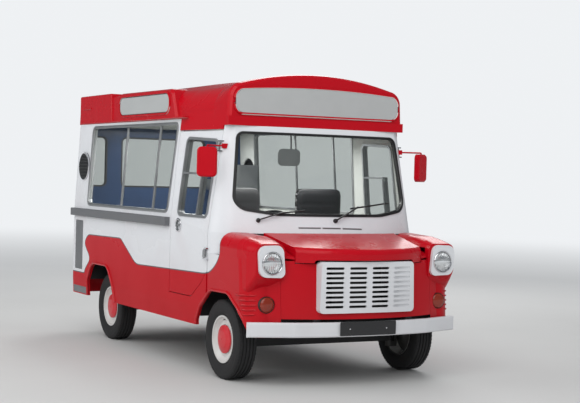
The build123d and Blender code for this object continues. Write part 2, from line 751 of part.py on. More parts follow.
def make_wing():
    """Left wing: the side of the nose with the lamp pod on top, open below."""
    body = nose_loft(0, 0, 40) & block(door_front_x - 10, ahead(900), panel_half + 1, far, 0,
                                       cowl_foot_z - seat_gap)
    pod = loft([pod_section(row, 0) for row in pod_sections], ruled=True)
    body_inside = nose_loft(nose_wall, 20, 100) & block(
        door_front_x - 60, ahead(900), panel_half - 200, far, 0, 1100)
    rows = [list(row) for row in pod_sections]
    rows[0][0] -= 30
    rows[-1][0] -= nose_wall
    for row in rows:
        row[3] += nose_wall
    pod_inside = loft([pod_section(row, nose_wall) for row in rows], ruled=True)
    wing = body + pod - body_inside - pod_inside
    wing -= side_prism(shift_arch(front_arch, front_axle_x, 0), 0, far)
    wing -= block(door_front_x - 100, door_front_x + door_gap / 2, 0, far, 0, 3000)
    wing -= block(door_front_x - 10, ahead(5) + seat_gap, 0, far, cowl_foot_z - seat_gap, 3000)
    wing -= loft([cab_section((z, *cab_sections[0][1:]), -seat_gap) for z in (cowl_foot_z - 1, 1300)],
                 ruled=True)
    faces = []
    for x, y_in, z in shoulder_sections:
        y_out = panel_half
        ring = [(y_in, z - 20), (y_out, z - 20), (y_out, z), (y_in, z)]
        faces.append(front_plane(x) * make_face(Polyline(*ring, close=True)))
    wing += (loft(faces, ruled=True) & nose_loft(0, 0, 200)) - pod_inside
    wing -= rod((ahead(400), lamp_y, lamp_z), (ahead(700), lamp_y, lamp_z), lamp_radius + 4)
    wing -= rod((ahead(400), indicator_y, indicator_z), (ahead(700), indicator_y, indicator_z),
                indicator_radius + seat_gap)
    return wing


wing = make_wing()
save(both(wing), "wings")

def bonnet_plan(inset, z_low, z_high):
    rear_half = bonnet_sections[0][1]
    corner = (bonnet_corner_x - inset, bonnet_corner_half - inset)
    lines = [
        Line((bonnet_rear_x + inset, -rear_half + inset), (bonnet_rear_x + inset, rear_half - inset)),
        Line((bonnet_rear_x + inset, rear_half - inset), corner),
        ThreePointArc(corner, (bonnet_lip_x - inset, 0), (corner[0], -corner[1])),
        Line((corner[0], -corner[1]), (bonnet_rear_x + inset, -rear_half + inset)),
    ]
    return extrude(Plane.XY.offset(z_low) * make_face(lines), amount=z_high - z_low, dir=(0, 0, 1))


panel = nose_loft(0, 0, 0) & block(ahead(400), ahead(900), -panel_half + 1, panel_half - 1, panel_foot_z,
                                   1000)
panel -= nose_loft(nose_wall, 20, 100)
pod_room = [[x, y_in - 0.6, y_out + 0.6, foot - 0.6, top + 0.6, bend]
            for x, y_in, y_out, foot, top, bend in pod_sections]
pod_room.append([pod_room[-1][0] + 300, *pod_room[-1][1:]])
panel -= both(loft([pod_section(row, 0) for row in pod_room], ruled=True))
grille_points = [
    (-grille_half, grille_foot_z, grille_corner), (grille_half, grille_foot_z, grille_corner),
    (grille_half - 12, grille_head_z, grille_corner), (-(grille_half - 12), grille_head_z, grille_corner),
]
panel -= front_prism(inset_outline(grille_points, 14), ahead(400), ahead(900))
panel -= bonnet_plan(-door_gap, bonnet_skirt_z - door_gap, 1400)
save(panel, "front_panel")


def grille_slab(inset, z_low, z_high):
    """Room behind the grille's bowed face."""
    rows = [(grille_side_x - inset, grille_half + 10), (grille_mid_x - inset, 0),
            (grille_side_x - inset, -grille_half - 10)]
    rear_x = ahead(500)
    lines = [
        ThreePointArc(*rows), Line(rows[2], (rear_x, rows[2][1])), Line((rear_x, rows[2][1]),
                (rear_x, rows[0][1])),
        Line((rear_x, rows[0][1]), rows[0]),
    ]
    return extrude(Plane.XY.offset(z_low) * make_face(lines), amount=z_high - z_low, dir=(0, 0, 1))


def make_grille():
    """Shallow tray with rows of round-ended slots. In the left column the slots are only pressed in."""
    low, high = grille_foot_z - 10, grille_head_z + 10
    face = grille_slab(0, low, high) & front_prism(grille_points, ahead(600), ahead(900))
    face -= grille_slab(grille_wall, low, high) & front_prism(inset_outline(grille_points, grille_wall),
                                                              ahead(490), ahead(900))
    face -= nose_loft(-seat_gap, 40, 60)
    column_pitch = (2 * grille_half - 2 * grille_margin + 14) / grille_columns
    row_pitch = (grille_head_z - grille_foot_z - 2 * grille_margin) / grille_rows
    slot = SlotOverall(slot_width, slot_height)
    for i in range(grille_columns):
        blank = i == grille_columns - 1
        for j in range(grille_rows):
            y = -grille_half + grille_margin - 7 + column_pitch * (i + 0.5)
            z = grille_foot_z + grille_margin + row_pitch * (j + 0.5)
            depth_x = grille_side_x - slot_recess + 6 if blank else ahead(600)
            face -= extrude(front_plane(depth_x) * Pos(y, z) * slot, amount=400, dir=(1, 0, 0))
    return face


save(make_grille(), "grille")


def bonnet_section(row, inset, drop):
    x, half, side_z, crown_z = row
    lines = [
        Line((-(half - inset), side_z - drop), (half - inset, side_z - drop)),
        Line((half - inset, side_z - drop), (half - inset, side_z - inset)),
        ThreePointArc((half - inset, side_z - inset), (0, crown_z - inset),
                      (-(half - inset), side_z - inset)),
        Line((-(half - inset), side_z - inset), (-(half - inset), side_z - drop)),
    ]
    return front_plane(x) * make_face(lines)


bonnet = loft([bonnet_section(row, 0, 150) for row in bonnet_sections], ruled=True)
bonnet &= bonnet_plan(0, bonnet_skirt_z, 1400)
front_edges = bonnet.edges().filter_by(lambda e: e.center().X > ahead(640) and e.center().Z > 1060)
bonnet = fillet(front_edges, bonnet_edge)
bonnet -= front_prism(lip_rise, ahead(640), ahead(900))
bonnet_room = loft([bonnet_section(row, bonnet_wall, 200) for row in bonnet_sections], ruled=True)
bonnet_room &= bonnet_plan(bonnet_wall, bonnet_skirt_z - 50, 1400)
bonnet -= loft([cab_section((z, *cab_sections[0][1:]), -bonnet_rear_gap) for z in (900, 1400)], ruled=True)
bonnet -= bonnet_room
for y_sign in (1, -1):
    for ear_sign in (1, -1):
        y = y_sign * bonnet_hinge_y + ear_sign * (bonnet_hinge_arm * 1.5 + bonnet_ear / 2)
        bonnet += block(bonnet_hinge_x - 10, bonnet_hinge_x + 10, y - bonnet_ear / 2, y + bonnet_ear / 2,
                        bonnet_hinge_z - 10, bonnet_hinge_z + 20)
bonnet -= rod((bonnet_hinge_x, -bonnet_hinge_y - 60, bonnet_hinge_z),
              (bonnet_hinge_x, bonnet_hinge_y + 60, bonnet_hinge_z), bonnet_pin + seat_gap)
save(bonnet, "bonnet")

# Headlamps, bezels, indicators, tail lamps
bezel = front_prism(bezel_outline, bezel_x, bezel_x + bezel_depth)
bezel -= rod((bezel_x - 50, lamp_y, lamp_z), (bezel_x + 100, lamp_y, lamp_z), lamp_radius + seat_gap)
save(both(bezel), "headlamp_bezels")


def domed_lamp(y, z, back_x, face_x, radius, lens_radius, dome):
    """Round lamp turned about its own axis, with a rim and a domed lens."""
    points = [(back_x, 0), (back_x, radius), (face_x, radius), (face_x, lens_radius + 2),
              (face_x - 3, lens_radius)]
    points += [(face_x - 3 + dome * sin(radians(t)), lens_radius * cos(radians(t))) for t in (30, 60)]
    points.append((face_x - 3 + dome, 0))
    face = make_face(Polyline(*points, close=True))
    plane = Plane(origin=(0, y, z), x_dir=(1, 0, 0), z_dir=(0, -1, 0))
    return revolve(plane * face, Axis((0, y, z), (1, 0, 0)))


headlamp = domed_lamp(lamp_y, lamp_z, bezel_x - 60, bezel_x + bezel_depth + 4, lamp_radius, lamp_lens_radius,
                      lamp_dome)
save(both(headlamp), "headlamps")
indicator = domed_lamp(indicator_y, indicator_z, indicator_face_x - 50, indicator_face_x + 5,
                       indicator_radius,
                       indicator_radius - 4, indicator_dome)
save(both(indicator), "indicators")
tail_lamp = rod((body_rear_x - tail_depth, tail_y, tail_z), (body_rear_x, tail_y, tail_z), tail_radius)
save(both(tail_lamp), "tail_lamps")


# Bumpers
def bumper_arc_x(y):
    """Front face of the bumper's middle part at y."""
    drop = bumper_mid_x - bumper_knee_x
    radius = (bumper_knee_half ** 2 + drop ** 2) / (2 * drop)
    return bumper_mid_x - radius + sqrt(radius ** 2 - y ** 2)


def bumper_front_at(y):
    """Front face of the whole bumper at y, with its straight ends."""
    if abs(y) <= bumper_knee_half:
        return bumper_arc_x(y)
    share = (abs(y) - bumper_knee_half) / (bumper_end_half - bumper_knee_half)
    return bumper_knee_x + (bumper_end_x - bumper_knee_x) * share


def make_front_bumper():
    lines = []
    for inset in (0, bumper_wall):
        end = (bumper_end_x - inset, bumper_end_half)
        knee = (bumper_knee_x - inset, bumper_knee_half)
        lines.append((end, knee, (bumper_mid_x - inset, 0)))
    (end, knee, mid), (end_in, knee_in, mid_in) = lines
    def flip(p):
        return (p[0], -p[1])
    face = make_face([
        Line(end, knee), ThreePointArc(knee, mid, flip(knee)), Line(flip(knee), flip(end)),
        Line(flip(end), flip(end_in)), Line(flip(end_in), flip(knee_in)),
        ThreePointArc(flip(knee_in), mid_in, knee_in), Line(knee_in, end_in), Line(end_in, end),
    ])
    bumper = extrude(Plane.XY.offset(bumper_foot_z) * face, amount=bumper_head_z - bumper_foot_z,
                     dir=(0, 0, 1))
    rims = bumper.faces().sort_by(Axis.Z)[0].edges() + bumper.faces().sort_by(Axis.Z)[-1].edges()
    front_rims = rims.filter_by(lambda e: (e @ 0.5).X > bumper_front_at((e @ 0.5).Y) - 4)
    return fillet(front_rims, bumper_edge)


save(make_front_bumper(), "front_bumper")
rear_bumper = block(body_rear_x - rear_bumper_reach, body_rear_x, -rear_bumper_half, rear_bumper_half,
                    bumper_foot_z + 25, bumper_head_z)
rear_bumper = fillet(rear_bumper.edges().filter_by(Axis.Z).sort_by(Axis.X)[:2], 30)
save(rear_bumper, "rear_bumper")


# Chassis
def make_rail(y_sign):
    """Side rail with a stepped nose, from behind the front bumper to the rear panel."""
    rail_front_x = bumper_arc_x(rail_half + rail_width / 2) - bumper_wall - seat_gap
    y_low = y_sign * rail_half - rail_width / 2
    rail = block(rail_rear_x, rail_front_x, y_low, y_low + rail_width, rail_foot_z, floor_foot_z - seat_gap)
    return rail - block(nose_step_x, ahead(900), -far, far, rail_nose_z, floor_head_z)


def make_towing_eye(x):
    """Bent plate under the right rail, with an upright eye for a shackle pin."""
    plate = block(x - tow_plate / 2, x + tow_plate / 2, -rail_half - rail_width / 2,
                  tow_eye_y + tow_plate / 2,
                  tow_eye_z, tow_eye_z + tow_eye_wall)
    web = block(x - tow_plate / 2, x + tow_plate / 2, -rail_half - rail_width / 2, -rail_half, tow_eye_z,
                rail_foot_z + 1)
    return plate + web - rod((x, tow_eye_y, 0), (x, tow_eye_y, rail_foot_z), tow_eye_radius)


right_rail = make_rail(-1)
for x in tow_eye_places:
    right_rail += make_towing_eye(x)
save(group(make_rail(1), right_rail), "chassis_rails")
member_half = rail_half - rail_width / 2 - seat_gap
members = [
    block(x - member_length / 2, x + member_length / 2, -member_half, member_half, foot,
          foot + member_height - seat_gap)
    for x, foot in member_places
]
save(group(*members), "cross_members")

# Floor and wheel housings
housing_y = body_half_width - side_wall - seat_gap
floor_rear_x = body_rear_x + side_wall + seat_gap
floor_pan = block(floor_rear_x, ahead(front_housing[0]), -housing_y, housing_y, floor_foot_z, floor_head_z)
floor_pan += block(ahead(front_housing[0]), bulkhead_x + 20, -(front_housing[2] - seat_gap),
                   front_housing[2] - seat_gap, floor_foot_z, floor_head_z)
door_side_y = body_half_width - door_wall - door_gap
for y_sign in (1, -1):
    y_low, y_high = sorted((y_sign * door_side_y, y_sign * far))
    floor_pan -= block(door_rear_x - 10, ahead(0), y_low, y_high, 0, 1000)
    y_low, y_high = sorted((y_sign * (rear_housing[2] - seat_gap), y_sign * far))
    floor_pan -= block(rear_axle_x + rear_housing[0] - seat_gap, rear_axle_x + rear_housing[1] + seat_gap,
                       y_low, y_high, 0, 1000)
save(floor_pan, "floor_pan")


def make_housing(axle_x, limits, foot_z, outer_y):
    rear, front, inner = limits
    shell = block(axle_x + rear, axle_x + front, inner, outer_y, foot_z, housing_head_z)
    shell -= block(axle_x + rear + housing_wall, axle_x + front - housing_wall, inner + housing_wall, far,
                   foot_z - 10, housing_head_z - housing_wall)
    return shell


front_shell = make_housing(front_axle_x, front_housing, rail_foot_z, side_y(53))
front_shell -= block(ahead(300), ahead(900), 0, far, 0, 1000) - nose_loft(nose_wall + seat_gap, 20, 100)
rear_shell = make_housing(rear_axle_x, rear_housing, sill_z + 165, housing_y)
save(group(both(front_shell), both(rear_shell)), "wheel_housings")

# Axles and springs
beam_half = kingpin_half - knuckle_radius - 6
beam = block(front_axle_x - beam_depth / 2, front_axle_x + beam_depth / 2, -beam_half, beam_half,
             beam_z - beam_height / 2, beam_z + beam_height / 2)
for y_sign in (1, -1):
    eye_y = y_sign * kingpin_half
    boss = rod((front_axle_x, eye_y, beam_z - beam_height / 2),
               (front_axle_x, eye_y, beam_z + beam_height / 2), 30)
    arm = block(front_axle_x - 25, front_axle_x + 25, min(eye_y, y_sign * (beam_half - 5)),
                max(eye_y, y_sign * (beam_half - 5)), beam_z - beam_height / 2, beam_z + beam_height / 2)
    beam += boss + arm
    beam -= rod((front_axle_x, eye_y, 0), (front_axle_x, eye_y, 500), kingpin_radius + seat_gap)
save(beam, "front_axle_beam")

def revolve_about_y(points, x, z):
    face = make_face(Polyline(*points, close=True))
    plane = Plane(origin=(x, 0, z), x_dir=(0, 1, 0), z_dir=(1, 0, 0))
    return revolve(plane * face, Axis((x, 0, z), (0, 1, 0)))


def make_ball(radius):
    """Differential case: a ball with flats, turned about the axle."""
    points = [(-radius, 0), (-0.92 * radius, 0.5 * radius), (-0.5 * radius, 0.92 * radius), (0, radius),
              (0.5 * radius, 0.92 * radius), (0.92 * radius, 0.5 * radius), (radius, 0)]
    return revolve_about_y(points, rear_axle_x, axle_z)


rear_tube_half = rear_track_half - 95
rear_axle = rod((rear_axle_x, -rear_tube_half, axle_z), (rear_axle_x, rear_tube_half, axle_z),
                axle_tube_radius)
rear_axle += make_ball(diff_radius)
stub_half = rear_track_half + 62
rear_axle += rod((rear_axle_x, -stub_half, axle_z), (rear_axle_x, stub_half, axle_z), hub_bore_radius)
save(rear_axle, "rear_axle")


def make_spring(axle_x, reach, seat_z):
    """Leaf spring: a shallow bow under the rail, with its eyes hung from it."""
    top = rail_foot_z - seat_gap
    low_z = seat_z
    lines = [
        ThreePointArc((axle_x - reach, top - spring_height), (axle_x, low_z),
                      (axle_x + reach, top - spring_height)),
        Line((axle_x + reach, top - spring_height), (axle_x + reach, top)),
        ThreePointArc((axle_x + reach, top), (axle_x, low_z + spring_height), (axle_x - reach, top)),
        Line((axle_x - reach, top), (axle_x - reach, top - spring_height)),
    ]
    face = side_plane(rail_half + spring_width / 2) * make_face(lines)
    return extrude(face, amount=spring_width, dir=(0, -1, 0))


front_spring = make_spring(front_axle_x, 520, beam_z + beam_height / 2 + seat_gap)
rear_spring = make_spring(rear_axle_x, 600, axle_z + axle_tube_radius + seat_gap)
save(group(both(front_spring), both(rear_spring)), "leaf_springs")

# Engine, gearbox and shaft, exhaust, tank
engine = block(ahead(90), ahead(560), -230, 230, 540, 960)
engine += block(ahead(130), ahead(500), -150, 150, 400, 545)
for y_sign in (1, -1):
    y_low, y_high = sorted((y_sign * 220, y_sign * (rail_half - rail_width / 2 - seat_gap)))
    engine += block(ahead(300), ahead(370), y_low, y_high, 560, 600)
save(engine, "engine_block")
gearbox = rod((ahead(60), 0, 500), (ahead(-320), 0, 500), 105)
gearbox += rod((ahead(-310), 0, 500), (rear_axle_x + diff_radius - 2, 0, axle_z + 20), 38)
gearbox -= make_ball(diff_radius + seat_gap)
save(gearbox, "gearbox_and_shaft")
silencer = block(ahead(-1450), ahead(-900), 190, 340, 340, 460)
silencer += block(ahead(-1200), ahead(-1160), 300, rail_half, 440, rail_foot_z - seat_gap)
pipe_rows = [(ahead(-900), 265, 400), (ahead(100), 205, 430), (ahead(230), 200, 515),
             (ahead(230), 200, 540 - seat_gap)]
for start, end in zip(pipe_rows, pipe_rows[1:]):
    silencer += rod(start, end, 22)
for bend in pipe_rows[1:3]:
    silencer += Pos(*bend) * Sphere(22)
silencer += rod((ahead(-1440), 265, 400), (ahead(-1950), 265, 400), 22)
save(silencer, "exhaust")
tank_in_y = rail_half + rail_width / 2 + tank_rail_gap
fuel_tank = block(ahead(-2050), ahead(-1350), tank_in_y, side_y(130), 400, floor_foot_z - seat_gap)
save(fuel_tank, "fuel_tank")


# Knuckles and wheels
def facet_stack(points, sides, x, z):
    """Turned solid of flat facets, from rows of place across and radius at the facets' corners."""
    def polygon(radius):
        return [(x + radius * cos(2 * pi * (k + 0.5) / sides), z + radius * sin(2 * pi * (k + 0.5) / sides))
                for k in range(sides)]
    faces = [side_plane(y) * make_face(Polyline(*polygon(radius), close=True)) for y, radius in points]
    return loft(faces, ruled=True)


def make_tyre(axle_x, track, seat):
    """Tyre: seven bands of flat facets outside, and a bore of facets that seats on the rim."""
    half, r = tyre_width / 2, tyre_radius
    grow = 1 / cos(pi / tyre_sides)
    outer = [
        (track - half + 14, seat + 4), (track - half, seat + 60), (track - half + 6,
                (r - tyre_shoulder) * grow),
        (track - half + tyre_shoulder, r * grow), (track + half - tyre_shoulder, r * grow),
        (track + half - 6, (r - tyre_shoulder) * grow), (track + half, seat + 60), (track + half - 14,
                seat + 4),
    ]
    tyre = facet_stack(outer, tyre_sides, axle_x, axle_z)
    bore_corner = (seat + seat_gap) * grow
    bore = facet_stack([(track - half - 5, bore_corner), (track + half + 5, bore_corner)], tyre_sides, axle_x,
                       axle_z)
    return tyre - bore


def make_rim(axle_x, track, outset):
    seat = rim_radius
    face_y = track + outset
    half = rim_width / 2
    points = [
        (track - half, seat), (track - half, seat - 12), (face_y - 60, seat - 22), (face_y - 52, 100),
        (face_y - 40, hub_bore_radius + seat_gap), (face_y - 15, hub_bore_radius + seat_gap),
        (face_y - 15, 6), (face_y, 6), (face_y - 6, hub_cap_radius * 0.6), (face_y - 22, hub_cap_radius),
        (face_y - 40, hub_cap_radius + 2), (face_y - 40, 150), (face_y - 20, seat - 20), (face_y - 8,
                seat - 12),
        (face_y - 8, seat),
    ]
    return revolve_about_y(points, axle_x, axle_z)


wheel_rows = [
    # name, axle x, track, face outset
    ("front", front_axle_x, front_track_half, 85),
    ("rear", rear_axle_x, rear_track_half, 80),
]
for name, axle_x, track, outset in wheel_rows:
    tyre = make_tyre(axle_x, track, rim_radius)
    rim = make_rim(axle_x, track, outset)
    for side_name, shape_of in (("left", lambda s: s), ("right", lambda s: mirror(s, about=Plane.XZ))):
        save(shape_of(tyre), f"tyre_{name}_{side_name}")
        save(shape_of(rim), f"wheel_{name}_{side_name}")

knuckle_y = kingpin_half
knuckle = rod((front_axle_x, knuckle_y, beam_z + beam_height / 2 + 1), (front_axle_x, knuckle_y, beam_z + 90),
              32)
knuckle += rod((front_axle_x, knuckle_y, beam_z - 80), (front_axle_x, knuckle_y,
                                                        beam_z - beam_height / 2 - 1), 32)
knuckle += rod((front_axle_x, knuckle_y, beam_z - 80), (front_axle_x, knuckle_y, beam_z + 90), kingpin_radius)
knuckle += block(front_axle_x - 30, front_axle_x + 30, knuckle_y + 34, knuckle_y + 60, beam_z - 80,
                 beam_z + 90)
knuckle += block(front_axle_x - 30, front_axle_x + 30, knuckle_y + 10, knuckle_y + 40, beam_z + 40,
                 beam_z + 90)
knuckle += block(front_axle_x - 30, front_axle_x + 30, knuckle_y + 10, knuckle_y + 40, beam_z - 80,
                 beam_z - 40)
knuckle += rod((front_axle_x, knuckle_y + 50, axle_z), (front_axle_x, front_track_half + 60, axle_z),
               hub_bore_radius)
save(knuckle, "knuckle_left")
save(mirror(knuckle, about=Plane.XZ), "knuckle_right")

# Doors
def front_skin_half(z):
    """Half width of the cab's side at the door's front edge."""
    return half_at(z, cowl_half, cowl_z, door_top_front_half, door_top_z)


def hinge_point(z):
    """Place on the door's hinge line, which leans in with the cab's side."""
    low_half = front_skin_half(hinge_low_z) + hinge_low_off
    high_half = front_skin_half(hinge_high_z) + hinge_high_off
    share = (z - hinge_low_z) / (hinge_high_z - hinge_low_z)
    return (hinge_x, low_half + (high_half - low_half) * share, z)


door_slab = wall_sections(door_stations(sill_z, door_top_z), 0, door_wall)
door_slab &= side_prism(door_foot_outline, 0, far)
door_window_points = [(ahead(x), z, r) for x, z, r in door_window]
door = door_slab - side_prism(door_window_points, 0, far)
handle_seat_y = body_half_width - handle_recess
door -= rod((handle_x, handle_seat_y, handle_z), (handle_x, far, handle_z), handle_radius + seat_gap)
door_frame_solid = wall_sections(door_stations(sill_z, door_top_z), frame_lap, door_wall + frame_lap)
door_frame_solid &= side_prism(inset_outline(door_window_points, seat_gap), 0, far)
door_light = side_prism(inset_outline(door_window_points, door_frame), 0, far)
door_light -= block(door_rear_x, door_bar_x + door_bar / 2, 0, far, door_bar_z - door_bar / 2,
                    door_bar_z + door_bar / 2)
door_light -= block(door_bar_x - door_bar / 2, door_bar_x + door_bar / 2, 0, far, waist_z,
                    door_bar_z + door_bar / 2)
door_frame_solid -= door_light
door_pane = wall_sections(door_stations(sill_z, door_top_z), -door_wall / 2 + glass_thickness, door_wall / 2)
bar_half = door_bar / 2 + seat_gap
door_pane &= side_prism(inset_outline(door_window_points, door_frame + seat_gap), 0, far)
door_pane -= block(door_rear_x, door_bar_x + bar_half, 0, far, door_bar_z - bar_half, door_bar_z + bar_half)
door_pane -= block(door_bar_x - bar_half, door_bar_x + bar_half, 0, far, waist_z, door_bar_z + bar_half)

door_room = wall_sections(door_stations(sill_z, door_top_z), seat_gap, door_wall)
barrels, pins = [], []
for z in (hinge_low_z, hinge_high_z):
    low, high = hinge_point(z - hinge_length / 2), hinge_point(z + hinge_length / 2)
    leaf = block(hinge_x - 34, hinge_x, front_skin_half(z) - 6, hinge_point(z)[1], z - 26, z + 26)
    barrel = tube(low, high, hinge_barrel, hinge_pin + seat_gap)
    barrel += leaf - rod(low, high, hinge_barrel - 2) - door_room
    barrels.append(barrel)
    pins.append(rod(hinge_point(z - hinge_length / 2 - 12), hinge_point(z + hinge_length / 2 + 12),
                    hinge_pin))
lug_room = loft([cab_section(row, -2 * seat_gap) for row in cab_sections], ruled=True)
lug_room += loft([cab_section((z, *cab_sections[0][1:]), -2 * seat_gap) for z in (900, cowl_z)], ruled=True)
lug_room += nose_loft(-2 * seat_gap, 0, 12)
lugs = []
for z in (hinge_low_z, hinge_high_z):
    for z_sign in (-1, 1):
        z_mid = z + z_sign * (hinge_length / 2 + 6.5)
        skin, axis_y = front_skin_half(z_mid - 5) + 0.6, hinge_point(z_mid)[1]
        lug = block(hinge_x - 7, ahead(-196), skin - 15, axis_y + 9, z_mid - 5, z_mid + 5)
        lug -= block(hinge_x - 20, door_front_x + door_gap / 2, 0, axis_y - 9, 0, 3000)
        lugs.append(lug - lug_room)
low_hinge, high_hinge = lugs[0] + lugs[1] + pins[0], lugs[2] + lugs[3] + pins[1]
handle = rod((handle_x, handle_seat_y + seat_gap, handle_z), (handle_x, body_half_width + 4, handle_z),
             handle_radius)
handle -= rod((handle_x, handle_seat_y + 4, handle_z), (handle_x, far, handle_z), handle_radius - 6)
handle += block(handle_x - 30, handle_x + 30, handle_seat_y + 3, body_half_width + 6, handle_z - 9,
                handle_z + 9)
mirror_face = Plane(origin=(mirror_x, mirror_half, mirror_z),
                    x_dir=(-sin(radians(mirror_turn)), cos(radians(mirror_turn)), 0),
                    z_dir=(cos(radians(mirror_turn)), sin(radians(mirror_turn)), 0))
mirror_head = loft([
    mirror_face * Pos(0, 0, -mirror_depth / 2) * RectangleRounded(mirror_width, mirror_height, mirror_corner),
    mirror_face * Pos(0, 0, mirror_depth / 4) * RectangleRounded(mirror_width, mirror_height, mirror_corner),
    mirror_face * Pos(0, 0, mirror_depth / 2) * RectangleRounded(mirror_width - 24, mirror_height - 24,
            mirror_corner - 12),
], ruled=True)
arm_foot = Vector(ahead(-176), front_skin_half(hinge_high_z) + 6, hinge_high_z)
arm_elbow = Vector(mirror_x, mirror_half, mirror_z + mirror_height / 2 + 12)
mirror_head += rod(arm_foot, arm_elbow, mirror_arm)
foot_pad = block(arm_foot.X - 14, arm_foot.X + 14, arm_foot.Y - 40, arm_foot.Y + 4, arm_foot.Z - 20,
                 arm_foot.Z + 20)
mirror_head += foot_pad - lug_room
mirror_head += rod(arm_elbow, arm_elbow + Vector(0, 0, -30), mirror_arm)
for side_name, shape_of in (("left", lambda s: s), ("right", lambda s: mirror(s, about=Plane.XZ))):
    save(shape_of(door), f"door_{side_name}")
    save(shape_of(door_pane), f"door_{side_name}_glass")
    trim = group(door_frame_solid, handle, *barrels)
    save(shape_of(trim), f"door_{side_name}_trim")
    save(shape_of(mirror_head), f"mirror_{side_name}")
save(both(group(low_hinge, high_hinge)), "door_hinges")


# Steering wheel, column and dashboard
column_axis = Vector(-sin(radians(column_tilt)), 0, cos(radians(column_tilt)))
hub_drop = 26
wheel_plane = Plane(origin=wheel_centre, z_dir=column_axis)
rim_face = Plane.XZ * Pos(steering_wheel_radius, 0) * RegularPolygon(steering_rim, rim_sides)
steering_wheel = wheel_plane * revolve(rim_face, Axis.Z)
steering_wheel += wheel_plane * Pos(0, 0, -hub_drop / 2) * Cylinder(34, hub_drop + 12)
for turn in (90, 210, 330):
    spoke = Pos(steering_wheel_radius / 2, 0, -6) * Box(steering_wheel_radius - 6, 26, 8)
    steering_wheel += wheel_plane * Rot(0, 0, turn) * spoke
save(steering_wheel, "steering_wheel")

column_top = wheel_centre - column_axis * (hub_drop + 6 + seat_gap)
column_end = wheel_centre - column_axis * 420
dash = block(dash_rear, dash_front, -far, far, dash_foot_z, dash_head_z)
dash &= loft([cab_section((z, *cab_sections[0][1:]), cab_wall + 2) for z in (dash_foot_z - 5, cowl_z)],
             ruled=True) + \
    loft([cab_section(row, cab_wall + 2) for row in cab_sections], ruled=True)
dash += rod(column_top, column_end, column_radius)
save(dash, "dashboard")

# Seats
seat_parts = []
for y in (-seat_y, seat_y):
    base = block(seat_back_x + 40, seat_front_x - 40, y - seat_half + 30, y + seat_half - 30, floor_head_z,
                 seat_base_z)
    cushion = block(seat_back_x, seat_front_x, y - seat_half, y + seat_half, seat_base_z, seat_cushion_z)
    cushion = fillet(cushion.edges().filter_by(Axis.Y), 30)
    back = block(seat_back_x, seat_back_x + 120, y - seat_half, y + seat_half, seat_cushion_z - 30,
                 seat_head_z)
    seat_parts.append(base + cushion + fillet(back.edges().filter_by(Axis.X).sort_by(Axis.Z)[-2:], 60))
save(group(*seat_parts), "seats")

# Ceiling lining of the shop, between the side panels
lining_rear_x = body_rear_x + side_wall + seat_gap
lining_front_x = door_rear_x - lining_margin
lining_top_z = lining_foot_z + lining_thickness
lining_corners = []
for x, eaves_half in ((lining_rear_x, eaves_rear_half), (lining_front_x, eaves_front_half)):
    edge = half_at(lining_top_z, body_half_width, waist_z, eaves_half, eaves_z) - side_wall - lining_gap
    lining_corners += [(x, edge), (x, -edge)]
rear_left, rear_right, front_left, front_right = lining_corners
lining_face = make_face(Polyline(rear_left, rear_right, front_right, front_left, close=True))
save(extrude(Plane.XY.offset(lining_foot_z) * lining_face, amount=lining_thickness, dir=(0, 0, 1)), "ceiling_lining")

# Counters and the whipping machine
counter_y = housing_y - 0.4
counter = block(counter_rear_x, counter_front_x, counter_y - counter_depth, counter_y, floor_head_z,
                counter_head_z)
counter -= block(rear_axle_x + rear_housing[0] - 5, rear_axle_x + rear_housing[1] + 5, rear_housing[2] - 5,
                 far, 0,
                 housing_head_z + 0.3)
save(both(counter), "counters")
machine_y = counter_y - counter_depth + 20
machine = block(machine_rear_x, machine_rear_x + machine_length, machine_y, machine_y + machine_depth - 20,
                counter_head_z, counter_head_z + machine_height)
machine += block(machine_rear_x + 60, machine_rear_x + machine_length - 60, machine_y - 80, machine_y + 10,
                 counter_head_z + 320, counter_head_z + 440)
save(machine, "whip_machine")

# Wipers, parked along the foot of the screen and pointing to the left
wiper_rows = [
    # pivot, end of the arm, start of the blade, end of the blade: each y, z on the cab's skin
    ((-655, 1297), (-440, 1358), (-560, 1346), (-275, 1370)),
    ((-5, 1300), (235, 1410), (160, 1400), (606, 1452)),
]
wiper_boss, wiper_boss_height = 17, 26
wiper_arm_height, wiper_arm_width = 21, 12
wiper_blade_height, wiper_blade_width, wiper_thickness = 12, 9, 8
wiper_link = 4.5
cab_skin = loft([cab_section(row, -seat_gap) for row in cab_sections], ruled=True)


def screen_x(y, z):
    """Front of the cab at a place across and up it."""
    low, high = cab_sections
    share = (z - low[0]) / (high[0] - low[0])
    corner_x, corner_half, middle_x = [low[i] + (high[i] - low[i]) * share for i in (2, 3, 6)]
    drop = middle_x - corner_x
    radius = (corner_half ** 2 + drop ** 2) / (2 * drop)
    return middle_x - radius + sqrt(radius ** 2 - y ** 2)


def above_skin(place, height):
    """Point on the cab's front skin, raised square to it by a height."""
    y, z = place
    here = Vector(screen_x(y, z), y, z)
    across = Vector(screen_x(y + 1, z), y + 1, z) - here
    rise = Vector(screen_x(y, z + 1), y, z + 1) - here
    return here + across.cross(rise).normalized() * height


def skin_bar(start, end, height, width, pieces):
    """Flat bar of straight pieces that follows the skin from start to end."""
    places = [tuple(a + (b - a) * k / pieces for a, b in zip(start, end)) for k in range(pieces + 1)]
    points = [above_skin(place, height) for place in places]
    path = (points[-1] - points[0]).normalized()
    faces = []
    for place, point in zip(places, points):
        outward = (above_skin(place, height + 1) - point).normalized()
        plane = Plane(origin=point, x_dir=outward, z_dir=path.cross(outward).cross(outward) * -1)
        faces.append(plane * Rectangle(wiper_thickness, width))
    return loft(faces, ruled=True)


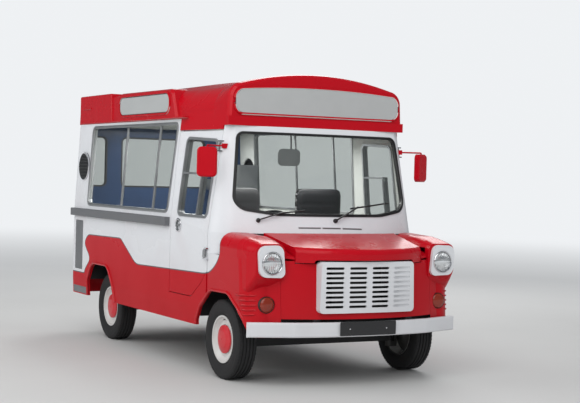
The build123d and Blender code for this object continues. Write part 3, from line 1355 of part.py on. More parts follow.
wipers = []
for pivot, arm_end, blade_start, blade_end in wiper_rows:
    wiper = rod(above_skin(pivot, -5), above_skin(pivot, wiper_boss_height), wiper_boss)
    wiper += skin_bar(pivot, arm_end, wiper_arm_height, wiper_arm_width, 2)
    wiper += rod(above_skin(arm_end, wiper_arm_height), above_skin(arm_end, wiper_blade_height), wiper_link)
    wiper += skin_bar(blade_start, blade_end, wiper_blade_height, wiper_blade_width, 4)
    wipers.append(wiper - cab_skin)
save(group(*wipers), "wipers")
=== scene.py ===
# %% [markdown]
# # An ice cream truck, dressed for its picture
# The imported model gives every panel, wheel and window as plain solids. This lesson gives them
# paint, rubber, glass and chrome, and adds the small trim that such a van carries.
# First the model is loaded as a fixed frame.

# %% Load the frame
import math
from functools import partialmethod

import bmesh
import bpy
from mathutils import Matrix, Vector


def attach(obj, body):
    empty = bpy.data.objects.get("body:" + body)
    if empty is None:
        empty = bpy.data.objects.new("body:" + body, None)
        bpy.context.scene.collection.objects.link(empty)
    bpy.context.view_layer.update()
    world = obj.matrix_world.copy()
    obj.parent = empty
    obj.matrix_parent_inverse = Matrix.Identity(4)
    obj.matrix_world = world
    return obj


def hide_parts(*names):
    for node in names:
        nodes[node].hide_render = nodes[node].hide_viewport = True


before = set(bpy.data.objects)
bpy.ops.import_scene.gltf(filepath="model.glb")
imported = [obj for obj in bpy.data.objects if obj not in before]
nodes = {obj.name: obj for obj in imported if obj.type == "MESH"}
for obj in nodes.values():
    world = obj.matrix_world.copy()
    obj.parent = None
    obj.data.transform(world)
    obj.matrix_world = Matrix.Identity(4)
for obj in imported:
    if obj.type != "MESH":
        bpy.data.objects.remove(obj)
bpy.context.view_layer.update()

# %% [markdown]
# ## Where things are
# Heights are from the ground, and lengths run forward from the front axle, because that is how
# such a van is measured. The frame's own X starts in the middle of the vehicle.

# %% Places
front_axle_x = 1.381
rear_axle_x = front_axle_x - 2.692
axle_z = 0.325
both_sides = (("left", 1), ("right", -1))


def ahead(distance):
    """X of a place given from the front axle, forward positive, in metres."""
    return front_axle_x + distance


def between(low, high, share):
    return low + (high - low) * share


def arc(turn, steps):
    """Cosine and sine at even steps from 0 to a turn, with both ends."""
    return [(math.cos(turn * k / steps), math.sin(turn * k / steps)) for k in range(steps + 1)]


def put(name, data):
    """Adds an object to the scene."""
    made = bpy.data.objects.new(name, data)
    bpy.context.scene.collection.objects.link(made)
    return made


# %% [markdown]
# ## The camera
# The picture was taken from head height, in front of the van's right corner, with a long lens.
# A target to look at would be the short way, but it can't hold the slight roll of the horizon.
# So the view is kept as three turns, and its three directions go straight into the matrix.

# %% Camera
camera_place = Vector((11.0317, -5.5727, 1.6703))
heading, tilt, roll = map(math.radians, (151.477, -1.13, 1.514))
onward = Vector((math.cos(heading) * math.cos(tilt), math.sin(heading) * math.cos(tilt), math.sin(tilt)))
level_right = onward.cross(Vector((0, 0, 1))).normalized()
level_up = level_right.cross(onward)
right = level_right * math.cos(roll) + level_up * math.sin(roll)
up = level_up * math.cos(roll) - level_right * math.sin(roll)

lens = bpy.data.cameras.new("picture_camera")
lens.sensor_width = 36
lens.lens = 81.84
camera = put("picture_camera", lens)
camera.matrix_world = Matrix((*zip(right, up, -onward, camera_place), (0, 0, 0, 1)))
bpy.context.scene.camera = camera
print("camera looks from", [round(v, 2) for v in camera_place])

# %% [markdown]
# ## Shader sums in plain Python
# Linking Math nodes one by one takes several lines for each sum, and hides what is meant. Here
# the first class holds one socket and turns the usual signs into Math nodes, so that a mask can
# be written as `1 - dust * 0.3`. The others hold a node tree and add every other kind of node.


# %% Wires
class Wire:
    """One socket of a shader. The usual signs add Math nodes."""

    def __init__(self, tree, socket):
        self.tree, self.socket = tree, socket

    def math(self, operation, *others, clamp=False):
        made = self.tree.nodes.new("ShaderNodeMath")
        made.operation, made.use_clamp = operation, clamp
        for slot, value in zip(made.inputs, (self, *others)):
            feed(self.tree, slot, value)
        return Wire(self.tree, made.outputs[0])

    __add__ = __radd__ = partialmethod(math, "ADD")
    __sub__ = partialmethod(math, "SUBTRACT")
    __mul__ = __rmul__ = partialmethod(math, "MULTIPLY")
    __truediv__ = partialmethod(math, "DIVIDE")
    __abs__ = partialmethod(math, "ABSOLUTE")

    def __neg__(self):
        return self * -1

    def __rsub__(self, other):
        return -self + other

    def step(self, soft):
        """0 below zero and 1 above it, over a soft width."""
        return (self / soft + 0.5).math("ADD", 0.0, clamp=True)


def feed(tree, slot, value):
    """Gives a socket a wire, a colour or a number."""
    if isinstance(value, Wire):
        tree.links.new(value.socket, slot)
    else:
        slot.default_value = (*value, 1) if slot.type == "RGBA" else value


# %% Finishes
class Shader:
    """The node tree of the world or of a material."""

    def __init__(self, owner):
        owner.use_nodes = True
        self.owner, self.tree = owner, owner.node_tree
        self.tree.nodes.clear()

    def node(self, kind, values=None):
        """Adds a node and fills its sockets. Gives its outputs by name."""
        made = self.tree.nodes.new(kind)
        for key, value in (values or {}).items():
            feed(self.tree, made.inputs[key], value)
        return {o.name: Wire(self.tree, o) for o in made.outputs if o.enabled}

    def blend(self, factor, low, high):
        """Shader low where the factor is 0 and high where it is 1."""
        return self.node("ShaderNodeMixShader", {0: factor, 1: low, 2: high})["Shader"]

    def done(self, shader, kind="Material"):
        self.node(f"ShaderNodeOutput{kind}", {"Surface": shader})
        return self.owner


class Finish(Shader):
    """A material being built, with its Object coordinates ready as x, y and z."""

    def __init__(self, name):
        super().__init__(bpy.data.materials.new(name))
        coordinates = self.node("ShaderNodeTexCoord")
        self.place, self.facing = coordinates["Object"], coordinates["Normal"]
        self.x, self.y, self.z = self.split(self.place)

    def split(self, vector):
        return self.node("ShaderNodeSeparateXYZ", {"Vector": vector}).values()

    def noise(self, scale, detail=3.0):
        outputs = self.node("ShaderNodeTexNoise", {"Vector": self.place, "Scale": scale, "Detail": detail})
        return outputs.get("Fac") or outputs["Factor"]

    def mix(self, factor, low, high):
        """Colour low where the factor is 0 and high where it is 1."""
        made = self.tree.nodes.new("ShaderNodeMix")
        made.data_type = "RGBA"
        for key, value in ((0, factor), (6, low), (7, high)):
            feed(self.tree, made.inputs[key], value)
        return Wire(self.tree, made.outputs[2])

    def bump(self, height, distance, strength):
        values = {"Height": height, "Distance": distance, "Strength": strength}
        return self.node("ShaderNodeBump", values)["Normal"]

    def principled(self, colour, **more):
        values = {key.replace("_", " ").title().replace("Ior", "IOR"): value for key, value in more.items()}
        return self.node("ShaderNodeBsdfPrincipled", {"Base Color": colour, **values})["BSDF"]

    def painted(self, colour, **more):
        """Ends a material that is one plain shader."""
        return self.done(self.principled(colour, **more))


# %% [markdown]
# ## Stage and light
# The van stands on a plain pale floor in a soft studio. The world is pale for the camera and
# gives an even fill, and is darker in reflections, which keeps the red deep. Large lamps above
# and around shape the panels. The floor fades into the backdrop, so that no horizon shows.

# %% Stage
backdrop_colour = (0.86, 0.88, 0.9)
floor_mesh = bpy.data.meshes.new("studio_floor")
floor_mesh.from_pydata([(-60, -60, 0), (60, -60, 0), (60, 60, 0), (-60, 60, 0)], [], [(0, 1, 2, 3)])
floor = put("studio_floor", floor_mesh)

concrete = Finish("pale_studio_floor")
worn = concrete.noise(0.6, 4.0) * 0.6 + concrete.noise(60.0, 2.0) * 0.2
tone = concrete.mix(worn, (0.56, 0.555, 0.54), (0.66, 0.655, 0.64))
reach = (concrete.x * concrete.x + concrete.y * concrete.y).math("SQRT")
far_off = ((reach - 5.0) / 20.0).math("SMOOTH_MIN", 1.0, 0.2).math("MAXIMUM", 0.0)
haze = concrete.node("ShaderNodeEmission", {"Color": backdrop_colour, "Strength": 1.0})["Emission"]
near_floor = concrete.principled(tone, roughness=0.75)
floor.data.materials.append(concrete.done(concrete.blend(far_off, near_floor, haze)))

world = bpy.data.worlds.new("studio")
bpy.context.scene.world = world
sky = Shader(world)


def background(colour, strength):
    return sky.node("ShaderNodeBackground", {"Color": colour, "Strength": strength})["Background"]


rays = sky.node("ShaderNodeLightPath")
seen = rays["Is Camera Ray"].math("MAXIMUM", rays["Is Transmission Ray"])
fill, mirrored = background((0.93, 0.96, 1.0), 0.62), background((0.8, 0.86, 0.92), 0.18)
lighting = sky.blend(rays["Is Glossy Ray"], fill, mirrored)
sky.done(sky.blend(seen, lighting, background(backdrop_colour, 1.0)), "World")
bpy.context.scene.view_settings.view_transform = "Standard"

lamp_rows = [
    # name, place, aimed at, length, width, power
    ("key", (7.0, -5.0, 7.0), (0.3, 0.0, 1.0), 9.0, 9.0, 520.0),
    ("side", (-2.0, -9.0, 5.0), (-0.5, 0.0, 1.0), 5.0, 5.0, 220.0),
    ("back", (-6.0, 5.0, 6.0), (0.0, 0.0, 1.5), 5.0, 5.0, 260.0),
    ("inside", (0.55, 0.0, 1.96), (0.55, 0.0, 0.0), 0.7, 1.1, 22.0),
    ("inside", (-0.95, 0.0, 2.1), (-0.95, 0.0, 0.0), 1.9, 1.1, 60.0),
]
for name, place, aim, length, width, power in lamp_rows:
    light = bpy.data.lights.new(name, "AREA")
    light.shape, light.size, light.size_y, light.energy = "RECTANGLE", length, width, power
    lamp = put(name, light)
    lamp.location = place
    lamp.rotation_euler = (Vector(aim) - Vector(place)).to_track_quat("-Z", "Y").to_euler()
print("lamps:", len(lamp_rows))

# %% [markdown]
# ## The painted sides
# The sides are white above and red below, and a thin grey line is drawn where they meet. It could
# be cut into the mesh, but paint has no thickness, and a material can draw it on any panel. The
# edge is worked out as a distance, so that the line keeps its width on slopes and in corners.
# Each straight run gives one distance. A smooth maximum joins two into red, and a smooth
# minimum keeps only what lies in both, which rounds the corner between them.

# %% Paint line
red, white, line_grey = (0.49, 0.002, 0.01), (0.7, 0.71, 0.73), (0.1, 0.12, 0.13)
line_half, edge_soft = 0.0045, 0.001
skirt_z = 0.622


def run_distance(finish, start, end):
    """How far a point lies below the run from start to end, in length and height."""
    (x0, z0), (x1, z1) = start, end
    length = math.hypot(x1 - x0, z1 - z0)
    return (finish.x - ahead(x0)) * ((z1 - z0) / length) - (finish.z - z0) * ((x1 - x0) / length)


def red_depth(finish):
    """How deep a point of the body's side lies in the red paint. Below zero is white."""
    top = run_distance(finish, (-3.1, 1.018), (-2.17, 1.03))
    slope = run_distance(finish, (-2.165, 1.029), (-1.775, 0.815))
    low = run_distance(finish, (-1.76, 0.811), (-0.234, 0.842))
    turn = (finish.z - 0.78) * 20.9
    wave = (finish.x - ahead(-3.088)) - turn.math("COSINE") * 0.067
    lean = turn.math("SINE") * 1.4
    wave = wave / (lean * lean + 1).math("SQRT")
    foot = skirt_z - finish.z
    rise = run_distance(finish, (-0.15, 0.852), (0.04, 1.01))
    nose = (finish.x - ahead(0.028)) + (finish.z - 1.0) * 0.1
    upper = top.math("SMOOTH_MIN", slope, 0.03).math("SMOOTH_MIN", wave, 0.05)
    lower = low.math("SMOOTH_MIN", finish.x - ahead(-2.9), 0.02)
    front = rise.math("SMOOTH_MAX", nose, 0.12)
    behind = upper.math("SMOOTH_MAX", lower, 0.06).math("SMOOTH_MAX", foot, 0.04)
    return behind.math("SMOOTH_MAX", front, 0.12)


# %% [markdown]
# ## Paints and other finishes
# Enamel is the paint of every panel. It is glossy but never quite even, so it gets orange peel
# and road film. A panel has its outside and its inside in one mesh, and the colour of the inside
# is found from the way a face looks. The other finishes share one recipe: worn tone and grain.


# %% Paints
def enamel(name, base, depth_of=None, coat=0.1, inner=None, forward=0.0, below=9.0, above=-1.0, gloss=0.14):
    """Gloss enamel: faint orange peel, road film low down, and the drawn line where two colours meet.

    Faces that look into the vehicle get the inner colour, found from which way they face, between
    the heights given as above and below. Upright walls get it from 0.3 m lower.
    """
    paint = Finish(name)
    cloud = paint.noise(2.2, 5.0)
    grain = paint.noise(240.0, 2.0)
    film = (0.75 - paint.z).step(0.7) * cloud
    colour = base
    if depth_of:
        depth = depth_of(paint)
        colour = paint.mix(depth.step(edge_soft), white, base)
        colour = paint.mix((line_half - abs(depth)).step(edge_soft), colour, line_grey)
    shade = (cloud - 0.5).math("MAXIMUM", 0.0) * 0.3
    colour = paint.mix(shade, colour, tuple(c * 0.55 for c in base))
    colour = paint.mix(film * 0.16, colour, (0.16, 0.07, 0.05))
    if inner:
        facing_x, facing_y, facing_z = paint.split(paint.facing)
        outward = paint.y.math("SIGN") * facing_y + facing_x * forward + facing_z * 0.3
        slanted = (-outward - 0.1).step(0.05) * (paint.z - above).step(0.01)
        upright = (-outward - 0.8).step(0.05) * (paint.z - above + 0.3).step(0.01)
        inward = slanted.math("MAXIMUM", upright) * (below - paint.z).step(0.01)
        colour = paint.mix(inward, colour, inner)
    rough = 0.2 + cloud * 0.14 + film * 0.25
    return paint.painted(colour, roughness=rough, coat_weight=coat, coat_roughness=0.08,
                         specular_ior_level=gloss, normal=paint.bump(grain, 0.0006, 0.25))


cream, underseal, shop_blue = (0.55, 0.56, 0.54), (0.02, 0.02, 0.021), (0.028, 0.048, 0.1)
side_paint = enamel("side_enamel", red, red_depth, coat=0.04, inner=cream, above=0.9, gloss=0.06)
wing_paint = enamel("wing_enamel", red, red_depth, coat=0.06, inner=underseal, forward=1.5, below=0.74)
cab_paint = enamel("cab_enamel", white, inner=cream, forward=1.5)
red_paint = enamel("red_enamel", red)
nose_paint = enamel("nose_enamel", red, inner=underseal, forward=2.0, below=0.98)
white_paint = enamel("white_enamel", white, coat=0.3)
rear_paint = enamel("rear_enamel", red, lambda finish: skirt_z - finish.z, inner=shop_blue, forward=-2.0,
                    above=0.9)
gelcoat = enamel("red_gelcoat", (0.5, 0.003, 0.011), coat=0.2, inner=(0.62, 0.62, 0.6))


def plain(name, colour, roughness, metallic=0.0, grain=80.0, relief=0.0004, vary=0.3, coat=0.0):
    """A finish with worn tone and a fine grain."""
    made = Finish(name)
    cloud = made.noise(9.0, 5.0)
    fine = made.noise(grain, 3.0)
    tone = made.mix(cloud, tuple(c * (1 - vary) for c in colour), colour)
    rough = roughness + (cloud - 0.5) * 0.2
    return made.painted(tone, roughness=rough, metallic=metallic, coat_weight=coat,
                        normal=made.bump(fine, relief, 0.5))


aluminium = plain("window_aluminium", (0.46, 0.47, 0.48), 0.46, 1.0)
chrome = plain("bright_chrome", (0.8, 0.8, 0.82), 0.08, 1.0, vary=0.1)
stainless = plain("brushed_stainless", (0.55, 0.56, 0.58), 0.32, 1.0)
mirror_silver = plain("mirror_silver", (0.8, 0.82, 0.84), 0.05, 1.0, vary=0.05, relief=0.00005)
worktop = plain("pale_worktop", (0.5, 0.5, 0.47), 0.45)
floor_covering = plain("floor_covering", (0.24, 0.24, 0.23), 0.6)
mirror_shell = plain("mirror_shell", (0.3, 0.31, 0.315), 0.45)
rubber = plain("black_rubber", (0.012, 0.012, 0.013), 0.6)
tyre_rubber = plain("tyre_rubber", (0.018, 0.018, 0.019), 0.75, grain=200.0)
laminate = plain("grey_laminate", (0.16, 0.165, 0.175), 0.5)
chassis_paint = plain("chassis_paint", (0.015, 0.015, 0.016), 0.6)
cast_metal = plain("cast_metal", (0.09, 0.088, 0.085), 0.55, 0.8)
black_plastic = plain("black_plastic", (0.014, 0.014, 0.015), 0.45)
vinyl = plain("seat_vinyl", (0.03, 0.03, 0.034), 0.5, grain=160.0)
amber = plain("amber_lens", (0.28, 0.03, 0.012), 0.18, coat=0.15)
tail_red = plain("tail_lens", (0.4, 0.01, 0.01), 0.18, vary=0.2, coat=0.6)
sign_grey = plain("sign_board", (0.46, 0.475, 0.47), 0.35, vary=0.08)
sign_line = plain("sign_edge_line", (0.03, 0.03, 0.035), 0.4)
plate_black = plain("plate_black", (0.012, 0.012, 0.014), 0.3, coat=0.4)
# Painted shadow: a grey plate stands for the dark inside of each cowl slot.
slot_shadow_grey = plain("slot_shadow", (0.16, 0.165, 0.17), 0.8)
skirt_metal = plain("skirt_aluminium", (0.38, 0.385, 0.4), 0.42, 1.0, vary=0.4)
lip_paint = enamel("lip_enamel", red, red_depth, coat=0.5)

# Window glass shows what is behind it: a tinted film, and a mirror film that grows with the angle.
pane = Finish("window_glass")
film = pane.node("ShaderNodeBsdfTransparent", {"Color": (0.91, 0.925, 0.915)})["BSDF"]
shine = pane.principled((0.02, 0.022, 0.024), roughness=0.03, coat_weight=1.0)
slant = pane.node("ShaderNodeLayerWeight", {"Blend": 0.5})["Facing"]
mirror_share = (slant.math("POWER", 4.0) * 0.5 + 0.08).math("MINIMUM", 1.0)
pane_glass = pane.done(pane.blend(mirror_share, film, shine))


# %% [markdown]
# ## Finish of each node
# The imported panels, lamps and axles keep their shape and only change their finish. A table holds
# all the choices in one place, and the print shows that no node is forgotten.


# %% Finish of each node
def dress(piece, material):
    piece.data.materials.clear()
    piece.data.materials.append(material)


finishes = {
    side_paint: "side_panels door_left door_right",
    wing_paint: "wings",
    cab_paint: "cab_front",
    nose_paint: "front_panel",
    rear_paint: "rear_panel",
    red_paint: "bonnet mirror_left mirror_right",
    gelcoat: "roof_cap",
    white_paint: "grille front_bumper rear_bumper headlamp_bezels",
    aluminium: "serving_window_frames door_left_trim door_right_trim",
    chrome: "door_hinges headlamps",
    stainless: "whip_machine",
    rubber: "window_rubbers",
    laminate: "serving_ledges",
    worktop: "counters ceiling_lining",
    chassis_paint: "chassis_rails cross_members front_axle_beam rear_axle leaf_springs fuel_tank "
                   "wheel_housings",
    floor_covering: "floor_pan",
    cast_metal: "engine_block gearbox_and_shaft exhaust knuckle_left knuckle_right",
    black_plastic: "side_vents wipers dashboard steering_wheel",
    vinyl: "seats",
    amber: "indicators",
    tail_red: "tail_lamps",
    pane_glass: "windscreen body_glass door_left_glass door_right_glass",
}
for material, names in finishes.items():
    for name in names.split():
        dress(nodes[name], material)
dressed = " ".join(finishes.values()).split()
print("dressed", len(dressed), "of", len(nodes), "nodes")
print("with the tyres come:", sorted(set(nodes) - set(dressed)))

# %% [markdown]
# ## Small tools for the trim
# Three shapes cover nearly all of the trim: a plate that follows a surface, a turned profile, and
# a tube along a path. Curves and modifiers could make them as well. Mesh code is used here,
# because each piece is then a plain mesh in the van's own frame, with nothing left to apply.


# %% Tools for pieces
def mesh_of(name, work, smooth=True):
    mesh = bpy.data.meshes.new(name)
    work.to_mesh(mesh)
    work.free()
    mesh.polygons.foreach_set("use_smooth", [smooth] * len(mesh.polygons))
    return mesh


def add_piece(name, verts, faces, material, body="body", bevel=0.0, smooth=True):
    """Makes a mesh object from points and faces, with soft edges, and lets it ride on a body."""
    work = bmesh.new()
    made = [work.verts.new(v) for v in verts]
    for face in faces:
        work.faces.new([made[i] for i in face])
    bmesh.ops.recalc_face_normals(work, faces=work.faces)
    if bevel:
        sharp = [e for e in work.edges if e.calc_face_angle(0) > 0.6]
        bmesh.ops.bevel(work, geom=sharp, offset=bevel, segments=2, profile=0.5, affect="EDGES")
    mesh = mesh_of(name, work, smooth)
    mesh.set_sharp_from_angle(angle=math.radians(38))
    piece = put(name, mesh)
    mesh.materials.append(material)
    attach(piece, body)
    return piece


def skin(loops, size, closed=False, start=0):
    """Faces over loops of points listed one after the other, with two end faces unless the loops close."""
    faces = []
    for low in range(0, (loops if closed else loops - 1) * size, size):
        high = (low + size) % (loops * size)
        faces += [(low + k, low + (k + 1) % size, high + (k + 1) % size, high + k) for k in range(size)]
    if not closed:
        faces += [range(size), range((loops - 1) * size, loops * size)]
    return [[start + i for i in face] for face in faces]


def span_at(u, half_u, half_v, radius):
    """Lower and upper edge of a rounded rectangle at u."""
    past = max(abs(u) - (half_u - radius), 0)
    edge = half_v - radius + math.sqrt(max(radius * radius - past * past, 0))
    return -edge, edge


def plate(name, half_u, half_v, radius, to_place, depth, material, columns=24, bevel=0.0, edges=None):
    """A rounded plate. to_place turns (u, v, height above the surface) into a point."""
    inner = half_u - radius
    corner = [radius * (1 - cosine) - half_u for cosine, _ in arc(math.pi / 2, 8)[:-1]]
    flat = [-inner + 2 * inner * k / columns for k in range(columns + 1)]
    marks = corner + flat + [-u for u in reversed(corner)]
    verts = []
    for u in marks:
        low, high = edges(u) if edges else span_at(u, half_u, half_v, radius)
        verts += [to_place(u, v, w) for v, w in ((low, 0), (high, 0), (high, depth), (low, depth))]
    return add_piece(name, verts, skin(len(marks), 4), material, bevel=bevel)


def frame_of(axis):
    """An axis and two directions across it."""
    axis = Vector(axis).normalized()
    across = axis.cross(Vector((0, 0, 1)))
    if across.length < 1e-4:
        across = axis.cross(Vector((0, 1, 0)))
    across.normalize()
    return axis, across, axis.cross(across)


def turned(name, profile, centre, axis, material, body="body", steps=48, closed=False):
    """A surface turned about an axis, from rows of (distance along it, radius)."""
    axis, across, beyond = frame_of(axis)
    verts, faces, rings = [], [], []
    for along, radius in profile:
        base = Vector(centre) + axis * along
        around = arc(2 * math.pi, steps)[:-1] if radius else [(0, 0)]
        rings.append([len(verts) + k for k in range(len(around))])
        verts += [base + (across * cosine + beyond * sine) * radius for cosine, sine in around]
    if closed:
        rings.append(rings[0])
    for low, high in zip(rings, rings[1:]):
        for k in range(steps):
            n = (k + 1) % steps
            face = (low[k % len(low)], low[n % len(low)], high[n % len(high)], high[k % len(high)])
            faces.append(list(dict.fromkeys(face)))
    return add_piece(name, verts, faces, material, body)


def tube(name, path, radius, material, body="body", steps=10, closed=False, flat=1.0):
    """A round or flattened bar along a path of points."""
    path = [Vector(p) for p in path]
    count = len(path)
    verts = []
    for i, place in enumerate(path):
        before = path[i - 1] if closed or i else place
        after = path[(i + 1) % count] if closed or i < count - 1 else place
        _, across, beyond = frame_of(after - before)
        for cosine, sine in arc(2 * math.pi, steps)[:-1]:
            verts.append(place + across * (cosine * radius) + beyond * (sine * radius * flat))
    return add_piece(name, verts, skin(count, steps, closed), material, body)


forward, backward, outward = (1, 0, 0), (-1, 0, 0), (0, 1, 0)


def turned_sides(label, profile, place, axis, material, body="body", **more):
    """The same turned piece on both sides, from its place and axis on the left."""
    (x, y, z), (i, j, k) = place, axis
    pieces = []
    for side, sign in both_sides:
        centre, along = (x, sign * y, z), (i, sign * j, k)
        pieces.append(turned(f"{label}_{side}", profile, centre, along, material, body.format(side), **more))
    return pieces


# %% [markdown]
# ## Signs and plates
# The roof carries a blank sign board in front and one on each side. Their corners are round, and
# a thin dark line runs round the edge. Each board is two thin plates, and the dark one is a
# little larger. A painted line would need a material that knows the shape of the board.

# %% Signs and plates
sign_x = ahead(-0.132)
sign_half, sign_foot, sign_head, sign_corner = 0.797, 2.176, 2.41, 0.075
sign_crown = 8.57
bead_out, bead_past, bead_radius, bead_steps = 0.004, 0.003, 0.011, 64
side_sign = 0.6015, 0.086, 0.079  # half length, half height, corner


def sign_span(u, margin):
    """Foot and head of the front sign at u. Its head is an arch."""
    past = max(abs(u) - (sign_half - margin - sign_corner), 0)
    rise = sign_corner - math.sqrt(max(sign_corner ** 2 - past ** 2, 0))
    head = sign_head - u * u / (2 * sign_crown) - margin
    return sign_foot + margin + rise, head - rise


front_layers = (("edge", 0.001, 0.0105, sign_line), ("board", 0.006, 0.012, sign_grey))
for label, margin, height, material in front_layers:
    plate(f"front_sign_{label}", sign_half - margin, None, sign_corner,
          lambda u, v, w: (sign_x + w, u, v), height, material, columns=40,
          edges=lambda u: sign_span(u, margin))
marks = [sign_half * cosine for cosine, _ in arc(math.pi, bead_steps)]
bead_path = [(sign_x + bead_out, u, sign_span(u, 0)[edge] + past)
             for edge, past, row in ((1, bead_past, marks), (0, -bead_past, marks[::-1])) for u in row]
tube("front_sign_bead", bead_path, bead_radius, gelcoat, closed=True)

x, y, z = ahead(-1.7675), 0.936, 2.289
side_layers = (("edge", 0.001, 0.002, sign_line), ("board", 0.007, 0.0035, sign_grey))
for label, margin, height, material in side_layers:
    for side, sign in both_sides:
        plate(f"side_sign_{label}_{side}", *(size - margin for size in side_sign),
              lambda u, v, w: (x + u, sign * (y + w), z + v), height, material, columns=4)

plate_rows = (("front_plate", lambda u, v, w: Vector((ahead(0.757) + w, u, 0.4715 + v))),
              ("rear_plate", lambda u, v, w: Vector((ahead(-3.5) - w, u, 0.7 + v))))
bolt_profile = [(0, 0.007), (0.0022, 0.0066), (0.0034, 0.0045), (0.0038, 0)]
for name, place_of in plate_rows:
    plate(f"{name}_board", 0.26, 0.0555, 0.008, place_of, 0.003, plate_black, columns=4)
    for label, u in (("a", -0.17), ("b", 0.17)):
        toward = place_of(u, 0, 1) - place_of(u, 0, 0)
        turned(f"{name}_bolt_{label}", bolt_profile, place_of(u, 0, 0.003), toward, chrome, steps=16)
print("signs and plates made")

# %% [markdown]
# ## Lamps
# Each headlamp is a chrome ring round a ribbed glass. Clear glass over a real bowl would be noisy
# and slow at this size. So the ribs are a bump, and the chrome bowl behind is a painted reflection:
# a bright streaked tone. The indicators and tail lamps are domed lenses in thin rings.

# %% Lamps
lamp_place = (ahead(0.612), 0.801, 0.984)
indicator_place = (ahead(0.545), 0.809, 0.654)
tail_place = (ahead(-3.5025), 0.85, 0.78)

ribbed = Finish("headlamp_lens")
ribs = (ribbed.y * 420).math("SINE")
rib_depth = (abs(ribbed.z - lamp_place[2]) - 0.022).step(0.002) * 0.6 + 0.4
# Painted reflection: bright streaks stand for the glints of the chrome bowl behind the glass.
bowl_glint = ribbed.noise(16.0, 2.0).step(0.25)
painted_bowl_glints = ribbed.mix(bowl_glint, (0.3, 0.32, 0.33), (0.74, 0.76, 0.77))
lens_glass = ribbed.painted(painted_bowl_glints, roughness=0.08, metallic=0.75, coat_weight=1.0,
                            normal=ribbed.bump(ribs * rib_depth, 0.004, 0.8))


def dome(foot, height, radius):
    """Rows of a turned profile that rise from a rim to a rounded top."""
    rows = [(foot + height * sine, radius * cosine) for cosine, sine in arc(math.pi / 2, 12)[:-1]]
    return rows + [(foot + height, 0)]


headlamp_ring = [(-0.03, 0.0905), (0.002, 0.0915), (0.009, 0.0895), (0.012, 0.0855), (0.01, 0.0815),
                 (0.002, 0.0795), (-0.03, 0.079)]
for ring in turned_sides("headlamp_ring", headlamp_ring, lamp_place, forward, chrome, steps=72, closed=True):
    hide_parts("headlamps")
headlamp_lens = [(-0.045, 0), (-0.045, 0.0785)] + dome(-0.002, 0.018, 0.0785)
turned_sides("headlamp_lens", headlamp_lens, lamp_place, forward, lens_glass, steps=72)

indicator_lens = [(-0.05, 0), (-0.05, 0.061)] + dome(0.004, 0.022, 0.061)
for lens_piece in turned_sides("indicator_lens", indicator_lens, indicator_place, forward, amber):
    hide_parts("indicators")
indicator_ring = [(-0.05, 0.061), (-0.05, 0.066), (0.003, 0.0665), (0.008, 0.0645), (0.006, 0.0615)]
turned_sides("indicator_ring", indicator_ring, indicator_place, forward, cast_metal, closed=True)

tail_lens = [(0, 0.05), (0.016, 0.05), (0.022, 0.047), (0.024, 0.043), (0.0245, 0.034), (0.026, 0.03),
             (0.029, 0.018), (0.03, 0)]
tail_ring = [(0, 0.0505), (0, 0.0565), (0.01, 0.0565), (0.014, 0.054), (0.016, 0.0505)]
tail_pieces = (turned_sides("tail_lens", tail_lens, tail_place, backward, tail_red)
               + turned_sides("tail_ring", tail_ring, tail_place, backward, chrome, closed=True))
for piece in tail_pieces:
    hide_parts("tail_lamps")
print("lamps made")

# %% [markdown]
# ## Wipers, mirrors and slots
# The wipers rest along the foot of the screen and point to the van's left. Three air slots are
# cut in the cowl below them. The driver's mirror hangs from the top of the screen, and the
# mirrors outside get their glass. A modifier could lay the wipers on the curved screen. A formula
# for the screen's curve does it here, because it gives the way outwards too.


# %% Screen fittings
cowl_z, cap_z = 1.19, 2.074
slot_half, lip_rise, wiper_radius = 0.09, 0.0085, 0.0085


def skin_x(y, z):
    """X of the cab's front skin at a place across and up it."""
    share = (z - cowl_z) / (cap_z - cowl_z)
    corner_x, corner_half = between(0.012, -0.15, share), between(0.812, 0.775, share)
    middle_x = between(0.245, -0.098, share)
    drop = middle_x - corner_x
    radius = (corner_half ** 2 + drop ** 2) / (2 * drop)
    return ahead(middle_x - radius + math.sqrt(radius ** 2 - y ** 2))


def on_skin(y, z, height=0.0):
    """A point on the cab's front skin, raised along its outward direction."""
    here, aside, above = (Vector((skin_x(b, c), b, c)) for b, c in ((y, z), (y + 0.01, z), (y, z + 0.01)))
    return here + (aside - here).cross(above - here).normalized() * height


def on_run(start, end, share, height, rise=0.0):
    """A point on the skin part of the way between two places (y, z)."""
    return on_skin(between(start[0], end[0], share), between(start[1], end[1], share) + rise, height)


def skin_run(start, end, steps, height, bow=0.0):
    """Path over the skin between two places, at a height that may bow up between its ends."""
    shares = [k / steps for k in range(steps + 1)]
    return [on_run(start, end, share, height + bow * math.sin(math.pi * share)) for share in shares]


wiper_rows = [
    # name, pivot (y, z), joint (y, z), blade start (y, z), blade end (y, z)
    ("right", (-0.655, 1.297), (-0.44, 1.362), (-0.56, 1.349), (-0.275, 1.378)),
    ("left", (-0.005, 1.3), (0.235, 1.412), (0.16, 1.4), (0.606, 1.452)),
]
boss_profile = [(-0.004, 0), (-0.004, 0.02), (0.01, 0.018), (0.022, 0.014), (0.026, 0.009), (0.027, 0)]
for name, pivot, joint, start, end in wiper_rows:
    base = on_skin(*pivot)
    boss = turned(f"wiper_{name}_pivot", boss_profile, base, on_skin(*pivot, 1.0) - base, black_plastic,
                  steps=24)
    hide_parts("wipers")
    tube(f"wiper_{name}_arm", skin_run(pivot, joint, 8, 0.02, 0.012), wiper_radius, black_plastic, flat=0.7)
    tube(f"wiper_{name}_blade", skin_run(start, end, 12, 0.011), wiper_radius, black_plastic, flat=0.8)

